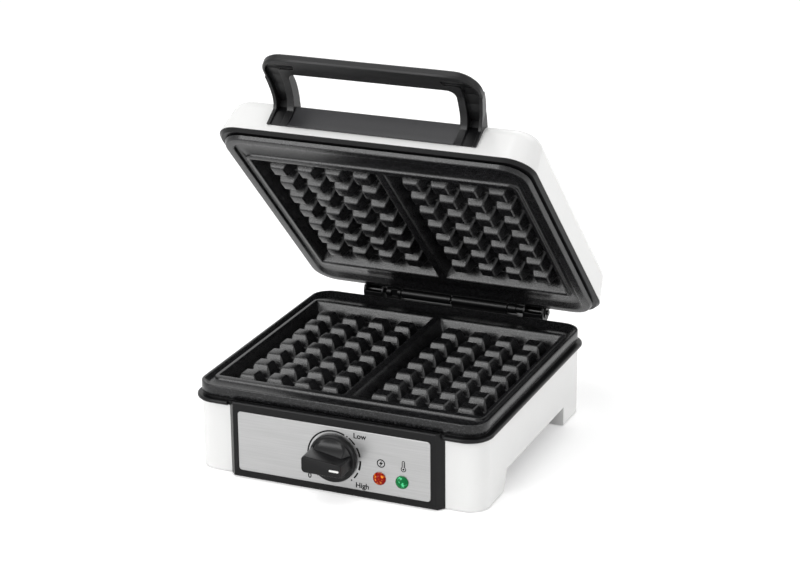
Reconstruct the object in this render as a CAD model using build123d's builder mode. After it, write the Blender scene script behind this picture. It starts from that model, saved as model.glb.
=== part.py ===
from build123d import *
from math import atan, cos, degrees, radians, sin, sqrt
import os

# Belgian waffle iron for two waffles, in millimetres. X runs to the right, Y to the back and Z up.
# The origin is on the table, under the middle of the depth with the lid open as it stands here.
# Depths (y) are counted from the middle of the plates, heights (z) from the table.
# Pieces of the lid are drawn on the closed lid and swung open about the hinge.

# Hinge and lid
plates_y = -2.6
hinge_y = 124.0
hinge_z = 68.2
lid_angle = 44.6
closed_gap = 0.5

# Fits between pieces
fit = 0.3
screw_fit = 0.1
running_fit = 0.05

# Base housing with its feet and side arches
body_half_x = 113.5
body_half_y = 107.8
body_corner = 15.0
body_height = 54.1
wall = 2.5
arch_height = 15.2
arch_front_y = -59.4
arch_front_slant = 6.2
arch_rear_y = 64.0
arch_corner = 2.5
foot_width = 22.0
foot_floor = 4.5
pad_radius = 6.0
pad_height = 3.0
pad_stand = 1.0
pad_x = 101.0
pad_y = 86.0

# Base cover, stepped down to a deeper front where the controls sit
cover_thick = 2.0
cover_step_y = -72.0
cover_front_drop = 11.2
vent_width = 3.0
vent_length = 24.0
vent_pitch = 10.0
vent_columns = 9
vent_row_pitch = 44.0

# Black rims that frame the plates
rim_overhang = 3.4
rim_thick = 3.0
rim_edge = 1.3
rim_upstand = 2.0
rim_upstand_inset = 1.8
rim_ring_width = 2.5
rim_skirt = 6.0
rim_skirt_thick = 2.0
lug_width = 12.0
lug_reach = 12.5
lug_thick = 3.0

# Lower plate casting
plate_half_x = 113.1
plate_half_y = 109.0
plate_corner = 15.2
plate_wall = 7.9
crest_width = 1.8
field_depth = 3.0
field_outline = (107.4, -105.0, 100.0)
field_corner_step = 1.0
casting_thick = 3.0
lip_depth = 1.0
lip_half_x = 107.2
lip_front_y = -92.0
lip_rear_y = 90.0
lip_corner = 6.0

# Wells and pegs, the same in both plates
well_pitch = 107.0
well_width = 101.0
well_length = 171.0
well_y = -1.0
well_draft = 4.0
well_depth = 11.5
peg_pitch = 22.5
peg_columns = 4
peg_rows = 7
peg_tip = 10.6
peg_draft = 4.0
lower_tip_depth = 2.7

# Upper plate casting, a little larger, so that its crest covers the lower one
upper_half_x = 118.5
upper_half_y = 117.0
upper_corner = 18.0
upper_wall = 3.3
upper_draft = 1.5
upper_crest_width = 6.2
upper_field_depth = 2.0
upper_field_outline = (111.6, -110.0, 104.0)
upper_neck = 6.0
upper_neck_inset = 2.0
upper_tip_depth = 1.0

# Lid housing
shell_half_x = 124.2
shell_half_y = 122.4
shell_corner = 20.0
shell_corner_step = 1.0
shell_height = 30.0
shell_lean_x = 3.2
shell_lean_front = 8.4
shell_lean_rear = 2.4
shell_round = 12.0
upper_rim_drop = 2.7
upper_rim_gap = 1.0
upper_rim_bevel = 2.2

# Handle: a loop that rises off the lid's front wall and then runs on level with the lid.
# Points of its side view are counted inwards and upwards from the lid's lower front edge.
handle_under = (
    (2.5, 19.5), (0.3, 23.0), (-3.6, 26.6), (-10.0, 29.9), (-19.7, 33.3), (-28.6, 34.3), (-42.3, 35.9),
)
handle_over = (
    (-42.3, 41.6), (-27.6, 40.3), (-16.6, 39.5), (-9.6, 38.7), (-2.6, 36.6), (3.4, 33.8), (8.9, 30.2),
    (14.5, 26.6),
)
foot_rise = 6.0
foot_inward = 0.0
handle_half_foot = 81.5
handle_half_top = 84.5
handle_flare_start = 0.4
handle_flare_end = -19.7
handle_corner = 18.0
handle_edge = 1.2
grip_inner = -25.6
finger_half = 65.0
finger_corner = 7.0
channel_floor = (
    (0.7, 4.0), (4.2, 19.5), (6.2, 24.0), (5.0, 31.0), (3.7, 29.0), (-3.6, 31.6), (-10.0, 34.3),
    (-19.7, 36.6), (-28.0, 37.0), (-39.0, 34.5),
)
channel_start = 12.0
channel_end = -40.0
channel_return = -31.0
channel_reach = 57.0
channel_wall = 2.5
channel_ridge = 5.5
channel_corner = 3.0
panel_top_rise = 24.0
panel_proud = 2.2
panel_dish = 1.0
screw_lean = 36.4
screw_root_inward = 6.4
screw_root_rise = 26.5

# Control frame, steel sheet and lamps on the front
bezel_half_back = 85.0
bezel_half_front = 80.0
bezel_depth = 5.8
bezel_bottom = 0.8
bezel_height = 58.7
bezel_wall = 2.0
bezel_web = 2.0
bezel_edge = 1.2
fascia_half = 75.9
fascia_bottom = 6.6
fascia_height = 46.3
fascia_thick = 0.9
fascia_proud = 0.5
fascia_corner = 2.5
fascia_bevel = 0.35
lamp_x = (36.7, 54.2)
lamp_z = 18.6
lamp_radius = 5.0
lamp_neck_radius = 4.2
lamp_dome = 1.6
lamp_collar = 0.8
bulb_radius = 2.5
bulb_length = 13.0
holder_radius = 5.2
holder_length = 15.0

# Temperature knob and thermostat
knob_x = 1.0
knob_z = 29.2
knob_radius = 18.3
knob_disc = 3.8
knob_dome = 2.6
knob_dome_radius = 15.6
knob_bar_length = 31.0
knob_bar_height = 9.6
knob_reach = 22.9
knob_gap = 0.6
pointer_length = 7.7
pointer_height = 1.7
pointer_depth = 0.8
pointer_end_margin = 1.4
shaft_radius = 3.0
shaft_bite = 12.0
nose_radius = 5.0
nose_length = 5.0
nut_flats = 14.0
nut_thick = 2.6
thermostat_width = 28.0
thermostat_height = 20.0
thermostat_depth = 18.0
bracket_half = 29.0
bracket_height = 30.0
bracket_thick = 1.0
bracket_screw_inset = 6.0

# Heaters, shields and screws
heater_radius = 3.3
heater_half_x = 84.0
heater_inner_x = 28.0
heater_tail_x = 14.0
heater_front_y = -66.0
heater_rear_y = 64.0
heater_return_y = -30.0
heater_tail_y = -94.0
heater_bend = 12.0
shield_gap = 8.2
shield_thick = 0.8
shield_half_x = 98.0
shield_half_y = 80.0
shield_lip = 2.2
boss_radius = 4.0
screw_radius = 2.0
screw_head = 3.6
screw_head_height = 2.2
lower_screw_length = 10.0
upper_screw_length = 8.8
plate_screw_x = 50.0
plate_screw_y = 96.6
shield_screw_x = 56.0
shield_screw_y = 40.0
small_screw_radius = 1.5
small_head = 3.0
small_head_height = 1.8
cover_boss_height = 12.0
cover_screw_length = 10.0
cover_boss_front_y = -44.0
cover_boss_rear_y = 48.0
cover_boss_x = 62.0
bezel_screw_x = 66.0
bezel_screw_z = (12.0, 46.0)
bezel_screw_length = 5.3
handle_screw_length = 12.0
blind_end = 0.5

# Hinge
pin_radius = 2.0
pin_overhang = 2.4
knuckle_radius = 4.3
arm_radius = 8.0
lower_knuckles = ((-58.8, -46.4), (-2.0, 45.2))
upper_knuckles = ((-45.5, -3.2), (46.0, 52.8))
arm_span = (60.2, 77.0)
ledge_half = 59.4
ledge_gap = 0.6
ledge_front = 2.0
neck_radius = 3.4
arm_wall = 1.5
arm_pocket_low = 5.0
arm_pocket_high = 2.6
arm_pocket_back = 5.0
window_width = 5.6
window_height = 5.6
window_x = -52.0
window_depth = 1.6
knuckle_web = 3.4
clip_radius = 4.5
clip_thick = 0.8

# Cord inlet, terminal block, fuse and leads
gland_x = -84.0
gland_z = 32.0
gland_radius = 6.0
gland_bore = 3.6
gland_flange = 9.0
gland_outside = 4.0
gland_inside = 8.0
block_x = -45.0
block_y = 62.0
block_length = 30.0
block_width = 16.0
block_height = 13.0
lead_rise = 4.3
fuse_radius = 2.2
fuse_length = 14.0
fuse_x = -40.0
lead_radius = 1.2
lead_bend = 3.5
supply_reach = (10.0, 18.0)
fuse_lead_reach = 10.0
tail_lead_reach = 22.0
thermostat_lead_x = 7.0
lamp_lead_turn = (-81.0, -77.0)
lamp_lead_step = (7.0, 10.0)
lid_lead_drop = 6.0
arm_lead_inset = 5.0

# Heights that follow from these
body_bottom = pad_stand
body_top = body_bottom + body_height
arch_top = body_bottom + arch_height
cover_top = arch_top + cover_thick
rim_top = body_top + rim_thick
plate_foot = rim_top + rim_upstand
crest_z = plate_foot + plate_wall
upper_crest_z = crest_z + closed_gap
upper_rim_face = upper_crest_z + upper_wall + upper_rim_gap
shell_bottom = upper_rim_face + upper_rim_drop
shell_top = shell_bottom + shell_height
neck_top = upper_crest_z + upper_neck
upper_ledge_top = neck_top + lug_thick
inner_x = body_half_x - wall
inner_y = body_half_y - wall
bezel_face = -body_half_y - bezel_depth
fascia_face = bezel_face - fascia_proud
arm_half = arm_span[1]
lug_end_y = inner_y - lug_reach
shell_inner_y = shell_half_y - wall


def base_plane(z):
    """Level plane at the height z, centred on the plates."""
    return Plane((0, plates_y, z))


def front_plane(y):
    """Upright plane that faces the front: its x runs along X and its y is the height."""
    return Plane(origin=(0, plates_y + y, 0), x_dir=(1, 0, 0), z_dir=(0, -1, 0))


def side_plane(x):
    """Upright plane that faces right: its x is the depth and its y is the height."""
    return Plane(origin=(x, plates_y, 0), x_dir=(0, 1, 0), z_dir=(1, 0, 0))


hinge_place = Location((0, plates_y + hinge_y, hinge_z))
lid_swing = hinge_place * Location((0, 0, 0), (-lid_angle, 0, 0)) * hinge_place.inverse()


def on_lid(plane):
    """A plane of the closed lid, carried to the lid as it stands open."""
    return Plane(lid_swing * plane.location)


def lower_face(depth):
    """Level plane at a depth below the lower plate's crest, facing the cooking side."""
    return base_plane(crest_z - depth)


def upper_face(depth):
    """Plane at a depth behind the upper plate's crest, facing the cooking side."""
    closed = Plane(origin=(0, plates_y, upper_crest_z + depth), x_dir=(-1, 0, 0), z_dir=(0, 0, -1))
    return on_lid(closed)


def corners(x, y):
    """The four points at plus and minus x and y."""
    return [(-x, -y), (x, -y), (-x, y), (x, y)]


# Housing: rounded wall, cored feet at the corners, arches, bosses and lugs inside
cover_bosses = [
    (-inner_x + boss_radius - fit, cover_boss_front_y),
    (inner_x - boss_radius + fit, cover_boss_front_y),
    (-inner_x + boss_radius - fit, cover_boss_rear_y),
    (inner_x - boss_radius + fit, cover_boss_rear_y),
    (-cover_boss_x, inner_y - boss_radius + fit),
    (cover_boss_x, inner_y - boss_radius + fit),
]
plate_screws = corners(plate_screw_x, plate_screw_y)
shield_screws = corners(shield_screw_x, shield_screw_y)
bezel_screws = [(side * bezel_screw_x, z) for z in bezel_screw_z for side in (-1, 1)]
bracket_screw_x = bracket_half - bracket_screw_inset
bracket_screws = [(knob_x - bracket_screw_x, knob_z), (knob_x + bracket_screw_x, knob_z)]
lamp_points = [(x, lamp_z) for x in lamp_x]
pad_points = corners(pad_x, pad_y)
arch_middle = (arch_front_y + arch_rear_y) / 2
arch_foot_y = arch_front_y - arch_front_slant

with BuildPart() as lower_housing:
    with BuildSketch(base_plane(body_bottom)):
        RectangleRounded(2 * body_half_x, 2 * body_half_y, body_corner)
        RectangleRounded(2 * inner_x, 2 * inner_y, body_corner - wall, mode=Mode.SUBTRACT)
    extrude(amount=body_height)
    with BuildSketch(base_plane(body_bottom)):
        RectangleRounded(2 * body_half_x, 2 * body_half_y, body_corner)
        Rectangle(2 * (body_half_x - foot_width), 3 * body_half_y, mode=Mode.SUBTRACT)
        with Locations((0, arch_middle)):
            Rectangle(3 * body_half_x, arch_rear_y - arch_front_y, mode=Mode.SUBTRACT)
    extrude(amount=arch_height)
    with BuildSketch(base_plane(body_bottom + foot_floor)):
        RectangleRounded(2 * inner_x, 2 * inner_y, body_corner - wall)
        Rectangle(2 * (body_half_x - foot_width + wall), 3 * body_half_y, mode=Mode.SUBTRACT)
        with Locations((0, (arch_foot_y + arch_rear_y) / 2)):
            Rectangle(3 * body_half_x, arch_rear_y - arch_foot_y + 2 * wall, mode=Mode.SUBTRACT)
    extrude(amount=arch_height - foot_floor, mode=Mode.SUBTRACT)
    with BuildSketch(side_plane(0)):
        with BuildLine():
            Polyline(
                (arch_foot_y - arch_front_slant, 0),
                (arch_foot_y, body_bottom),
                (arch_front_y, arch_top),
                (arch_rear_y, arch_top),
                (arch_rear_y, 0),
                close=True,
            )
        make_face()
        arch_tops = [v for v in vertices() if v.Z > arch_top - 1]
        fillet(arch_tops, arch_corner)
    extrude(amount=body_half_x + wall, both=True, mode=Mode.SUBTRACT)
    with BuildSketch(base_plane(cover_top)):
        with Locations(*cover_bosses):
            Circle(boss_radius)
    extrude(amount=cover_boss_height)
    with BuildSketch(base_plane(cover_top)):
        with Locations(*cover_bosses):
            Circle(small_screw_radius + screw_fit)
    extrude(amount=cover_boss_height - wall, mode=Mode.SUBTRACT)
    with BuildSketch(base_plane(body_top - lug_thick)):
        for side in (-1, 1):
            lug_y = side * (inner_y + wall / 2 - lug_reach / 2)
            with Locations((-plate_screw_x, lug_y), (plate_screw_x, lug_y)):
                Rectangle(lug_width, lug_reach + wall)
    extrude(amount=lug_thick)
    with BuildSketch(base_plane(body_top)):
        with Locations(*plate_screws):
            Circle(screw_radius + screw_fit)
    extrude(amount=-lug_thick, mode=Mode.SUBTRACT)
    with BuildSketch(front_plane(-inner_y)):
        with Locations((knob_x, knob_z)):
            Circle(nut_flats / 2 + wall)
        with Locations(*lamp_points):
            Circle(holder_radius + fit)
        with Locations(*(bezel_screws + bracket_screws)):
            Circle(small_screw_radius + screw_fit)
    extrude(amount=wall, mode=Mode.SUBTRACT)
    with BuildSketch(front_plane(body_half_y)):
        with Locations((gland_x, gland_z)):
            Circle(gland_radius + screw_fit)
    extrude(amount=wall, mode=Mode.SUBTRACT)
    with BuildSketch(base_plane(0)):
        with Locations(*pad_points):
            Circle(pad_radius + running_fit)
    extrude(amount=pad_height, mode=Mode.SUBTRACT)

with BuildPart() as foot_pads:
    with BuildSketch(base_plane(0)):
        with Locations(*pad_points):
            Circle(pad_radius)
    extrude(amount=pad_height)

cover_front_y = -inner_y + fit
cover_rear_y = inner_y - fit
with BuildPart() as base_cover:
    with BuildSketch(side_plane(0)):
        with BuildLine():
            Polyline(
                (cover_front_y, cover_top - cover_front_drop),
                (cover_step_y - cover_thick, cover_top - cover_front_drop),
                (cover_step_y - cover_thick, cover_top),
                (cover_rear_y, cover_top),
                (cover_rear_y, arch_top),
                (cover_step_y, arch_top),
                (cover_step_y, arch_top - cover_front_drop),
                (cover_front_y, arch_top - cover_front_drop),
                close=True,
            )
        make_face()
    extrude(amount=body_half_x - foot_width - fit, both=True)
    with BuildSketch(base_plane(arch_top)):
        with Locations((0, arch_middle)):
            Rectangle(2 * (inner_x - fit), arch_rear_y - arch_front_y - 2 * fit)
    extrude(amount=cover_thick)
    with BuildSketch(base_plane(arch_top)):
        with Locations(*cover_bosses):
            Circle(small_screw_radius + screw_fit)
        with GridLocations(vent_pitch, vent_row_pitch, vent_columns, 2):
            SlotOverall(vent_length, vent_width, rotation=90)
    extrude(amount=cover_thick, mode=Mode.SUBTRACT)

with BuildPart() as base_cover_screws:
    with BuildSketch(base_plane(arch_top - small_head_height)):
        with Locations(*cover_bosses):
            Circle(small_head)
    extrude(amount=small_head_height)
    with BuildSketch(base_plane(arch_top)):
        with Locations(*cover_bosses):
            Circle(small_screw_radius)
    extrude(amount=cover_screw_length)

# Lower rim: flange over the housing, upstand under the plate, lugs, and the base's hinge knuckles
rim_half_x = plate_half_x + rim_overhang
rim_half_y = plate_half_y + rim_overhang
ring_half_x = plate_half_x - rim_upstand_inset
ring_half_y = plate_half_y - rim_upstand_inset
rim_corner = plate_corner + rim_overhang
ring_corner = plate_corner - rim_upstand_inset
ring_inner_x = ring_half_x - rim_ring_width
ring_inner_y = ring_half_y - rim_ring_width
notch_y = body_half_y + bezel_wall
ledge_rear_y = hinge_y + knuckle_web
ledge_top = hinge_z - knuckle_radius - ledge_gap

with BuildPart() as lower_rim:
    with BuildSketch(base_plane(body_top)):
        RectangleRounded(2 * rim_half_x, 2 * rim_half_y, rim_corner)
    extrude(amount=rim_thick)
    outer_edges = edges().group_by(Axis.Z)[0] + edges().group_by(Axis.Z)[-1]
    fillet(outer_edges, rim_edge)
    with BuildSketch(base_plane(rim_top)):
        RectangleRounded(2 * ring_half_x, 2 * ring_half_y, ring_corner)
    extrude(amount=rim_upstand)
    with BuildSketch(base_plane(body_top)):
        RectangleRounded(2 * ring_inner_x, 2 * ring_inner_y, ring_corner - rim_ring_width)
    extrude(amount=rim_thick + rim_upstand, mode=Mode.SUBTRACT)
    with BuildSketch(base_plane(body_top)):
        RectangleRounded(2 * (inner_x - fit), 2 * (inner_y - fit), body_corner - wall - fit)
        RectangleRounded(
            2 * (inner_x - fit - rim_skirt_thick),
            2 * (inner_y - fit - rim_skirt_thick),
            body_corner - wall - fit - rim_skirt_thick,
            mode=Mode.SUBTRACT,
        )
        Rectangle(2 * (body_half_x - foot_width), 3 * body_half_y, mode=Mode.SUBTRACT)
    extrude(amount=-rim_skirt)
    with BuildSketch(base_plane(body_top)):
        for side in (-1, 1):
            lug_y = side * (inner_y - lug_reach / 2)
            with Locations((-plate_screw_x, lug_y), (plate_screw_x, lug_y)):
                Rectangle(lug_width, lug_reach)
    extrude(amount=rim_thick)
    with BuildSketch(base_plane(body_top)):
        with Locations(*plate_screws):
            Circle(screw_radius + screw_fit)
    extrude(amount=rim_thick, mode=Mode.SUBTRACT)
    with BuildSketch(base_plane(body_top)):
        with Locations((0, -notch_y - rim_overhang)):
            Rectangle(2 * (bezel_half_back + fit), 2 * rim_overhang)
    extrude(amount=rim_thick, mode=Mode.SUBTRACT)
    with BuildSketch(base_plane(body_top)):
        with Locations((0, (rim_half_y - rim_edge + ledge_rear_y) / 2)):
            Rectangle(2 * ledge_half, ledge_rear_y - rim_half_y + rim_edge)
    extrude(amount=rim_thick)
    with BuildSketch(base_plane(rim_top)):
        with Locations((0, (ring_half_y + ledge_front + ledge_rear_y) / 2)):
            Rectangle(2 * ledge_half, ledge_rear_y - ring_half_y - ledge_front)
    extrude(amount=ledge_top - rim_top)
    for start, end in lower_knuckles:
        with BuildSketch(side_plane(start)):
            with Locations((hinge_y, hinge_z)):
                Circle(knuckle_radius)
            with Locations((hinge_y, (hinge_z + body_top + 1) / 2)):
                Rectangle(2 * knuckle_web, hinge_z - body_top - 1)
        extrude(amount=end - start)
    with BuildSketch(base_plane(hinge_z - window_height / 2)):
        with Locations((window_x, hinge_y - knuckle_radius)):
            Rectangle(window_width, 2 * window_depth)
    extrude(amount=window_height, mode=Mode.SUBTRACT)
    with BuildSketch(side_plane(-arm_half)):
        with Locations((hinge_y, hinge_z)):
            Circle(pin_radius + running_fit)
    extrude(amount=2 * arm_half, mode=Mode.SUBTRACT)


def grill_plate(
    face, half_x, half_y, corner, wall_height, draft, crest, field, outline,
    neck_inset, neck, lip, tip, boss_foot,
):
    """A cast plate: rim, recessed field, raised lip, two drafted wells with rows of tapered pegs,
    bosses for the screws behind. Every depth is counted from the crest; face(depth) is the plane
    there, facing the cooking side."""
    pan_depth = lip + well_depth + casting_thick
    lip_middle = (lip_front_y + lip_rear_y) / 2
    wells = [(-well_pitch / 2, well_y), (well_pitch / 2, well_y)]
    peg_height = lip + well_depth - tip
    peg_root = peg_tip + 2 * peg_draft
    field_half_x, field_front_y, field_rear_y = outline
    field_middle = (field_front_y + field_rear_y) / 2
    field_corner = corner - crest - field_corner_step
    with BuildPart() as plate:
        with BuildSketch(face(wall_height)):
            RectangleRounded(2 * (half_x + draft), 2 * (half_y + draft), corner + draft)
        extrude(amount=wall_height, taper=degrees(atan(draft / wall_height)))
        with BuildSketch(face(neck)):
            RectangleRounded(2 * (half_x - neck_inset), 2 * (half_y - neck_inset), corner - neck_inset)
        extrude(amount=neck - field)
        with BuildSketch(face(neck)):
            RectangleRounded(
                2 * (half_x - neck_inset - casting_thick),
                2 * (half_y - neck_inset - casting_thick),
                corner - neck_inset - casting_thick,
            )
        extrude(amount=neck - field - casting_thick, mode=Mode.SUBTRACT)
        with BuildSketch(face(field)):
            with Locations((0, field_middle)):
                RectangleRounded(2 * field_half_x, field_rear_y - field_front_y, field_corner)
        with BuildSketch(face(0)):
            RectangleRounded(2 * (half_x - crest), 2 * (half_y - crest), corner - crest)
        loft(ruled=True, mode=Mode.SUBTRACT)
        with BuildSketch(face(pan_depth)):
            with Locations((0, lip_middle)):
                RectangleRounded(2 * lip_half_x, lip_rear_y - lip_front_y, lip_corner)
        extrude(amount=pan_depth - lip)
        with BuildSketch(face(pan_depth + shield_gap)):
            with Locations(*shield_screws):
                Circle(boss_radius)
        extrude(amount=shield_gap)
        with BuildSketch(face(boss_foot)):
            with Locations(*plate_screws):
                Circle(boss_radius)
        extrude(amount=boss_foot - field - casting_thick)
        with BuildSketch(face(lip)):
            with Locations(*wells):
                Rectangle(well_width, well_length)
        extrude(amount=-well_depth, taper=degrees(atan(well_draft / well_depth)), mode=Mode.SUBTRACT)
        with BuildSketch(face(lip + well_depth)):
            with Locations(*wells):
                with GridLocations(peg_pitch, peg_pitch, peg_columns, peg_rows):
                    Rectangle(peg_root, peg_root)
        extrude(amount=peg_height, taper=degrees(atan(peg_draft / peg_height)))
        with BuildSketch(face(pan_depth + shield_gap)):
            with Locations(*shield_screws):
                Circle(screw_radius + screw_fit)
        extrude(amount=shield_gap + casting_thick / 2, mode=Mode.SUBTRACT)
        with BuildSketch(face(boss_foot)):
            with Locations(*plate_screws):
                Circle(screw_radius + screw_fit)
        extrude(amount=boss_foot - field - casting_thick / 4, mode=Mode.SUBTRACT)
    return plate


lower_grill_plate = grill_plate(
    lower_face, plate_half_x, plate_half_y, plate_corner, plate_wall, 0.0, crest_width, field_depth,
    field_outline, 0.0, plate_wall, lip_depth, lower_tip_depth, crest_z - rim_top,
)
upper_grill_plate = grill_plate(
    upper_face, upper_half_x, upper_half_y, upper_corner, upper_wall, upper_draft, upper_crest_width,
    upper_field_depth, upper_field_outline, upper_neck_inset, upper_neck, 0.0, upper_tip_depth, upper_neck,
)
lower_pan_depth = lip_depth + well_depth + casting_thick
upper_pan_depth = well_depth + casting_thick


def heating_element(face, pan_depth):
    """Bent tubular heater in one M-shaped run against the back of the pan, with its two tails."""
    level = face(pan_depth + heater_radius + running_fit)
    with BuildPart() as heater:
        with BuildLine(level) as route:
            FilletPolyline(
                (-heater_tail_x, heater_tail_y),
                (-heater_tail_x, heater_front_y),
                (-heater_half_x, heater_front_y),
                (-heater_half_x, heater_rear_y),
                (-heater_inner_x, heater_rear_y),
                (-heater_inner_x, heater_return_y),
                (heater_inner_x, heater_return_y),
                (heater_inner_x, heater_rear_y),
                (heater_half_x, heater_rear_y),
                (heater_half_x, heater_front_y),
                (heater_tail_x, heater_front_y),
                (heater_tail_x, heater_tail_y),
                radius=heater_bend,
            )
        with BuildSketch(Plane(origin=route.line @ 0, z_dir=route.line % 0)):
            Circle(heater_radius)
        sweep()
    return heater


def heat_shield(face, pan_depth):
    """Sheet tray behind the heater with a turned-up lip, held on the pan's bosses."""
    depth = pan_depth + shield_gap + shield_thick
    with BuildPart() as shield:
        with BuildSketch(face(depth)):
            RectangleRounded(2 * shield_half_x, 2 * shield_half_y, lip_corner)
        extrude(amount=shield_lip)
        with BuildSketch(face(depth - shield_thick)):
            RectangleRounded(
                2 * (shield_half_x - shield_thick),
                2 * (shield_half_y - shield_thick),
                lip_corner - shield_thick,
            )
        extrude(amount=shield_lip, mode=Mode.SUBTRACT)
        with BuildSketch(face(depth)):
            with Locations(*shield_screws):
                Circle(screw_radius + screw_fit)
        extrude(amount=shield_thick, mode=Mode.SUBTRACT)
    return shield


def plate_screw_set(face, pan_depth, lug_back, length):
    """Pan-head screws, four through the lugs into the plate and four that hold the shield."""
    shield_back = pan_depth + shield_gap + shield_thick
    with BuildPart() as screws:
        for seat, points in ((lug_back, plate_screws), (shield_back, shield_screws)):
            with BuildSketch(face(seat + screw_head_height)):
                with Locations(*points):
                    Circle(screw_head)
            extrude(amount=screw_head_height)
            with BuildSketch(face(seat)):
                with Locations(*points):
                    Circle(screw_radius)
            extrude(amount=length)
    return screws


lower_heating_element = heating_element(lower_face, lower_pan_depth)
upper_heating_element = heating_element(upper_face, upper_pan_depth)
lower_reflector = heat_shield(lower_face, lower_pan_depth)
upper_reflector = heat_shield(upper_face, upper_pan_depth)
lower_plate_screws = plate_screw_set(
    lower_face, lower_pan_depth, crest_z - body_top + lug_thick, lower_screw_length
)
upper_plate_screws = plate_screw_set(
    upper_face, upper_pan_depth, upper_neck + 2 * lug_thick, upper_screw_length
)


def shell_form(inset, bottom, top):
    """Outer form of the lid housing, drawn in by inset on every side: leaning walls, round top edge."""
    front_top = shell_half_y - shell_lean_front
    rear_top = shell_half_y - shell_lean_rear
    lid_bottom = on_lid(base_plane(bottom))
    lid_top = on_lid(base_plane(top))
    with BuildPart() as form:
        with BuildSketch(lid_bottom):
            RectangleRounded(2 * (shell_half_x - inset), 2 * (shell_half_y - inset), shell_corner - inset)
        with BuildSketch(lid_top):
            with Locations((0, (rear_top - front_top) / 2)):
                RectangleRounded(
                    2 * (shell_half_x - shell_lean_x - inset),
                    front_top + rear_top - 2 * inset,
                    shell_corner - inset - shell_corner_step,
                )
        loft(ruled=True)
        top_face = faces().sort_by(Axis(lid_top.origin, lid_top.z_dir))[-1]
        fillet(top_face.edges(), shell_round - inset)
    return form.part


shell_outside = shell_form(0, shell_bottom, shell_top)
shell_inside = shell_form(wall, shell_bottom, shell_top - wall)
handle_screw_x = finger_half + channel_ridge / 2
lean_y = -cos(radians(screw_lean))
lean_z = sin(radians(screw_lean))
root_y = -shell_half_y + screw_root_inward
root_z = shell_bottom + screw_root_rise
wall_slope = shell_lean_front / shell_height

# The handle's screws seat where the rim of the head meets the inside of the lid's rounded front edge
inner_round = shell_round - wall
inner_slope = shell_lean_front / (shell_height - wall)
round_z = shell_top - wall - inner_round
round_y = (
    -shell_inner_y + inner_slope * (round_z - shell_bottom) + inner_round * sqrt(1 + inner_slope ** 2)
)
screw_seat = (
    (round_y - root_y) * lean_y
    + (round_z - root_z) * lean_z
    + sqrt(inner_round ** 2 - (screw_head + 2 * fit) ** 2)
)
handle_screws_at = [(-handle_screw_x, 0), (handle_screw_x, 0)]


def leg_plane(along):
    """Plane square to the handle's screws, at a distance along their middle line."""
    origin = (0, plates_y + root_y + along * lean_y, root_z + along * lean_z)
    return on_lid(Plane(origin=origin, x_dir=(1, 0, 0), z_dir=(0, lean_y, lean_z)))



with BuildPart() as upper_housing:
    add(shell_outside)
    add(shell_inside, mode=Mode.SUBTRACT)
    with BuildSketch(on_lid(base_plane(upper_ledge_top))):
        for side in (-1, 1):
            lug_y = side * (shell_inner_y + lug_end_y) / 2
            with Locations((-plate_screw_x, lug_y), (plate_screw_x, lug_y)):
                Rectangle(lug_width, shell_inner_y - lug_end_y)
    extrude(amount=lug_thick)
    with BuildSketch(on_lid(base_plane(upper_ledge_top))):
        with Locations(*plate_screws):
            Circle(screw_radius + screw_fit)
    extrude(amount=lug_thick, mode=Mode.SUBTRACT)
    with BuildSketch(leg_plane(screw_seat)):
        with Locations(*handle_screws_at):
            Circle(screw_radius + screw_fit)
    extrude(amount=handle_screw_length, mode=Mode.SUBTRACT)

# Upper rim: flange under the lid housing, ledge behind the plate's neck, and the lid's hinge knuckles
upper_rim_half_x = shell_half_x - running_fit
upper_rim_half_y = shell_half_y - running_fit
neck_half_x = upper_half_x - upper_neck_inset
neck_half_y = upper_half_y - upper_neck_inset
neck_corner = upper_corner - upper_neck_inset
ledge_inner_x = neck_half_x - rim_ring_width - casting_thick
ledge_inner_y = neck_half_y - rim_ring_width - casting_thick
knuckle_root = (hinge_z + shell_bottom) / 2
arm_front_y = upper_half_y + upper_draft + fit
arm_pocket_length = arm_radius + arm_pocket_back
arm_pocket_middle = hinge_y + arm_pocket_back - arm_pocket_length / 2

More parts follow.
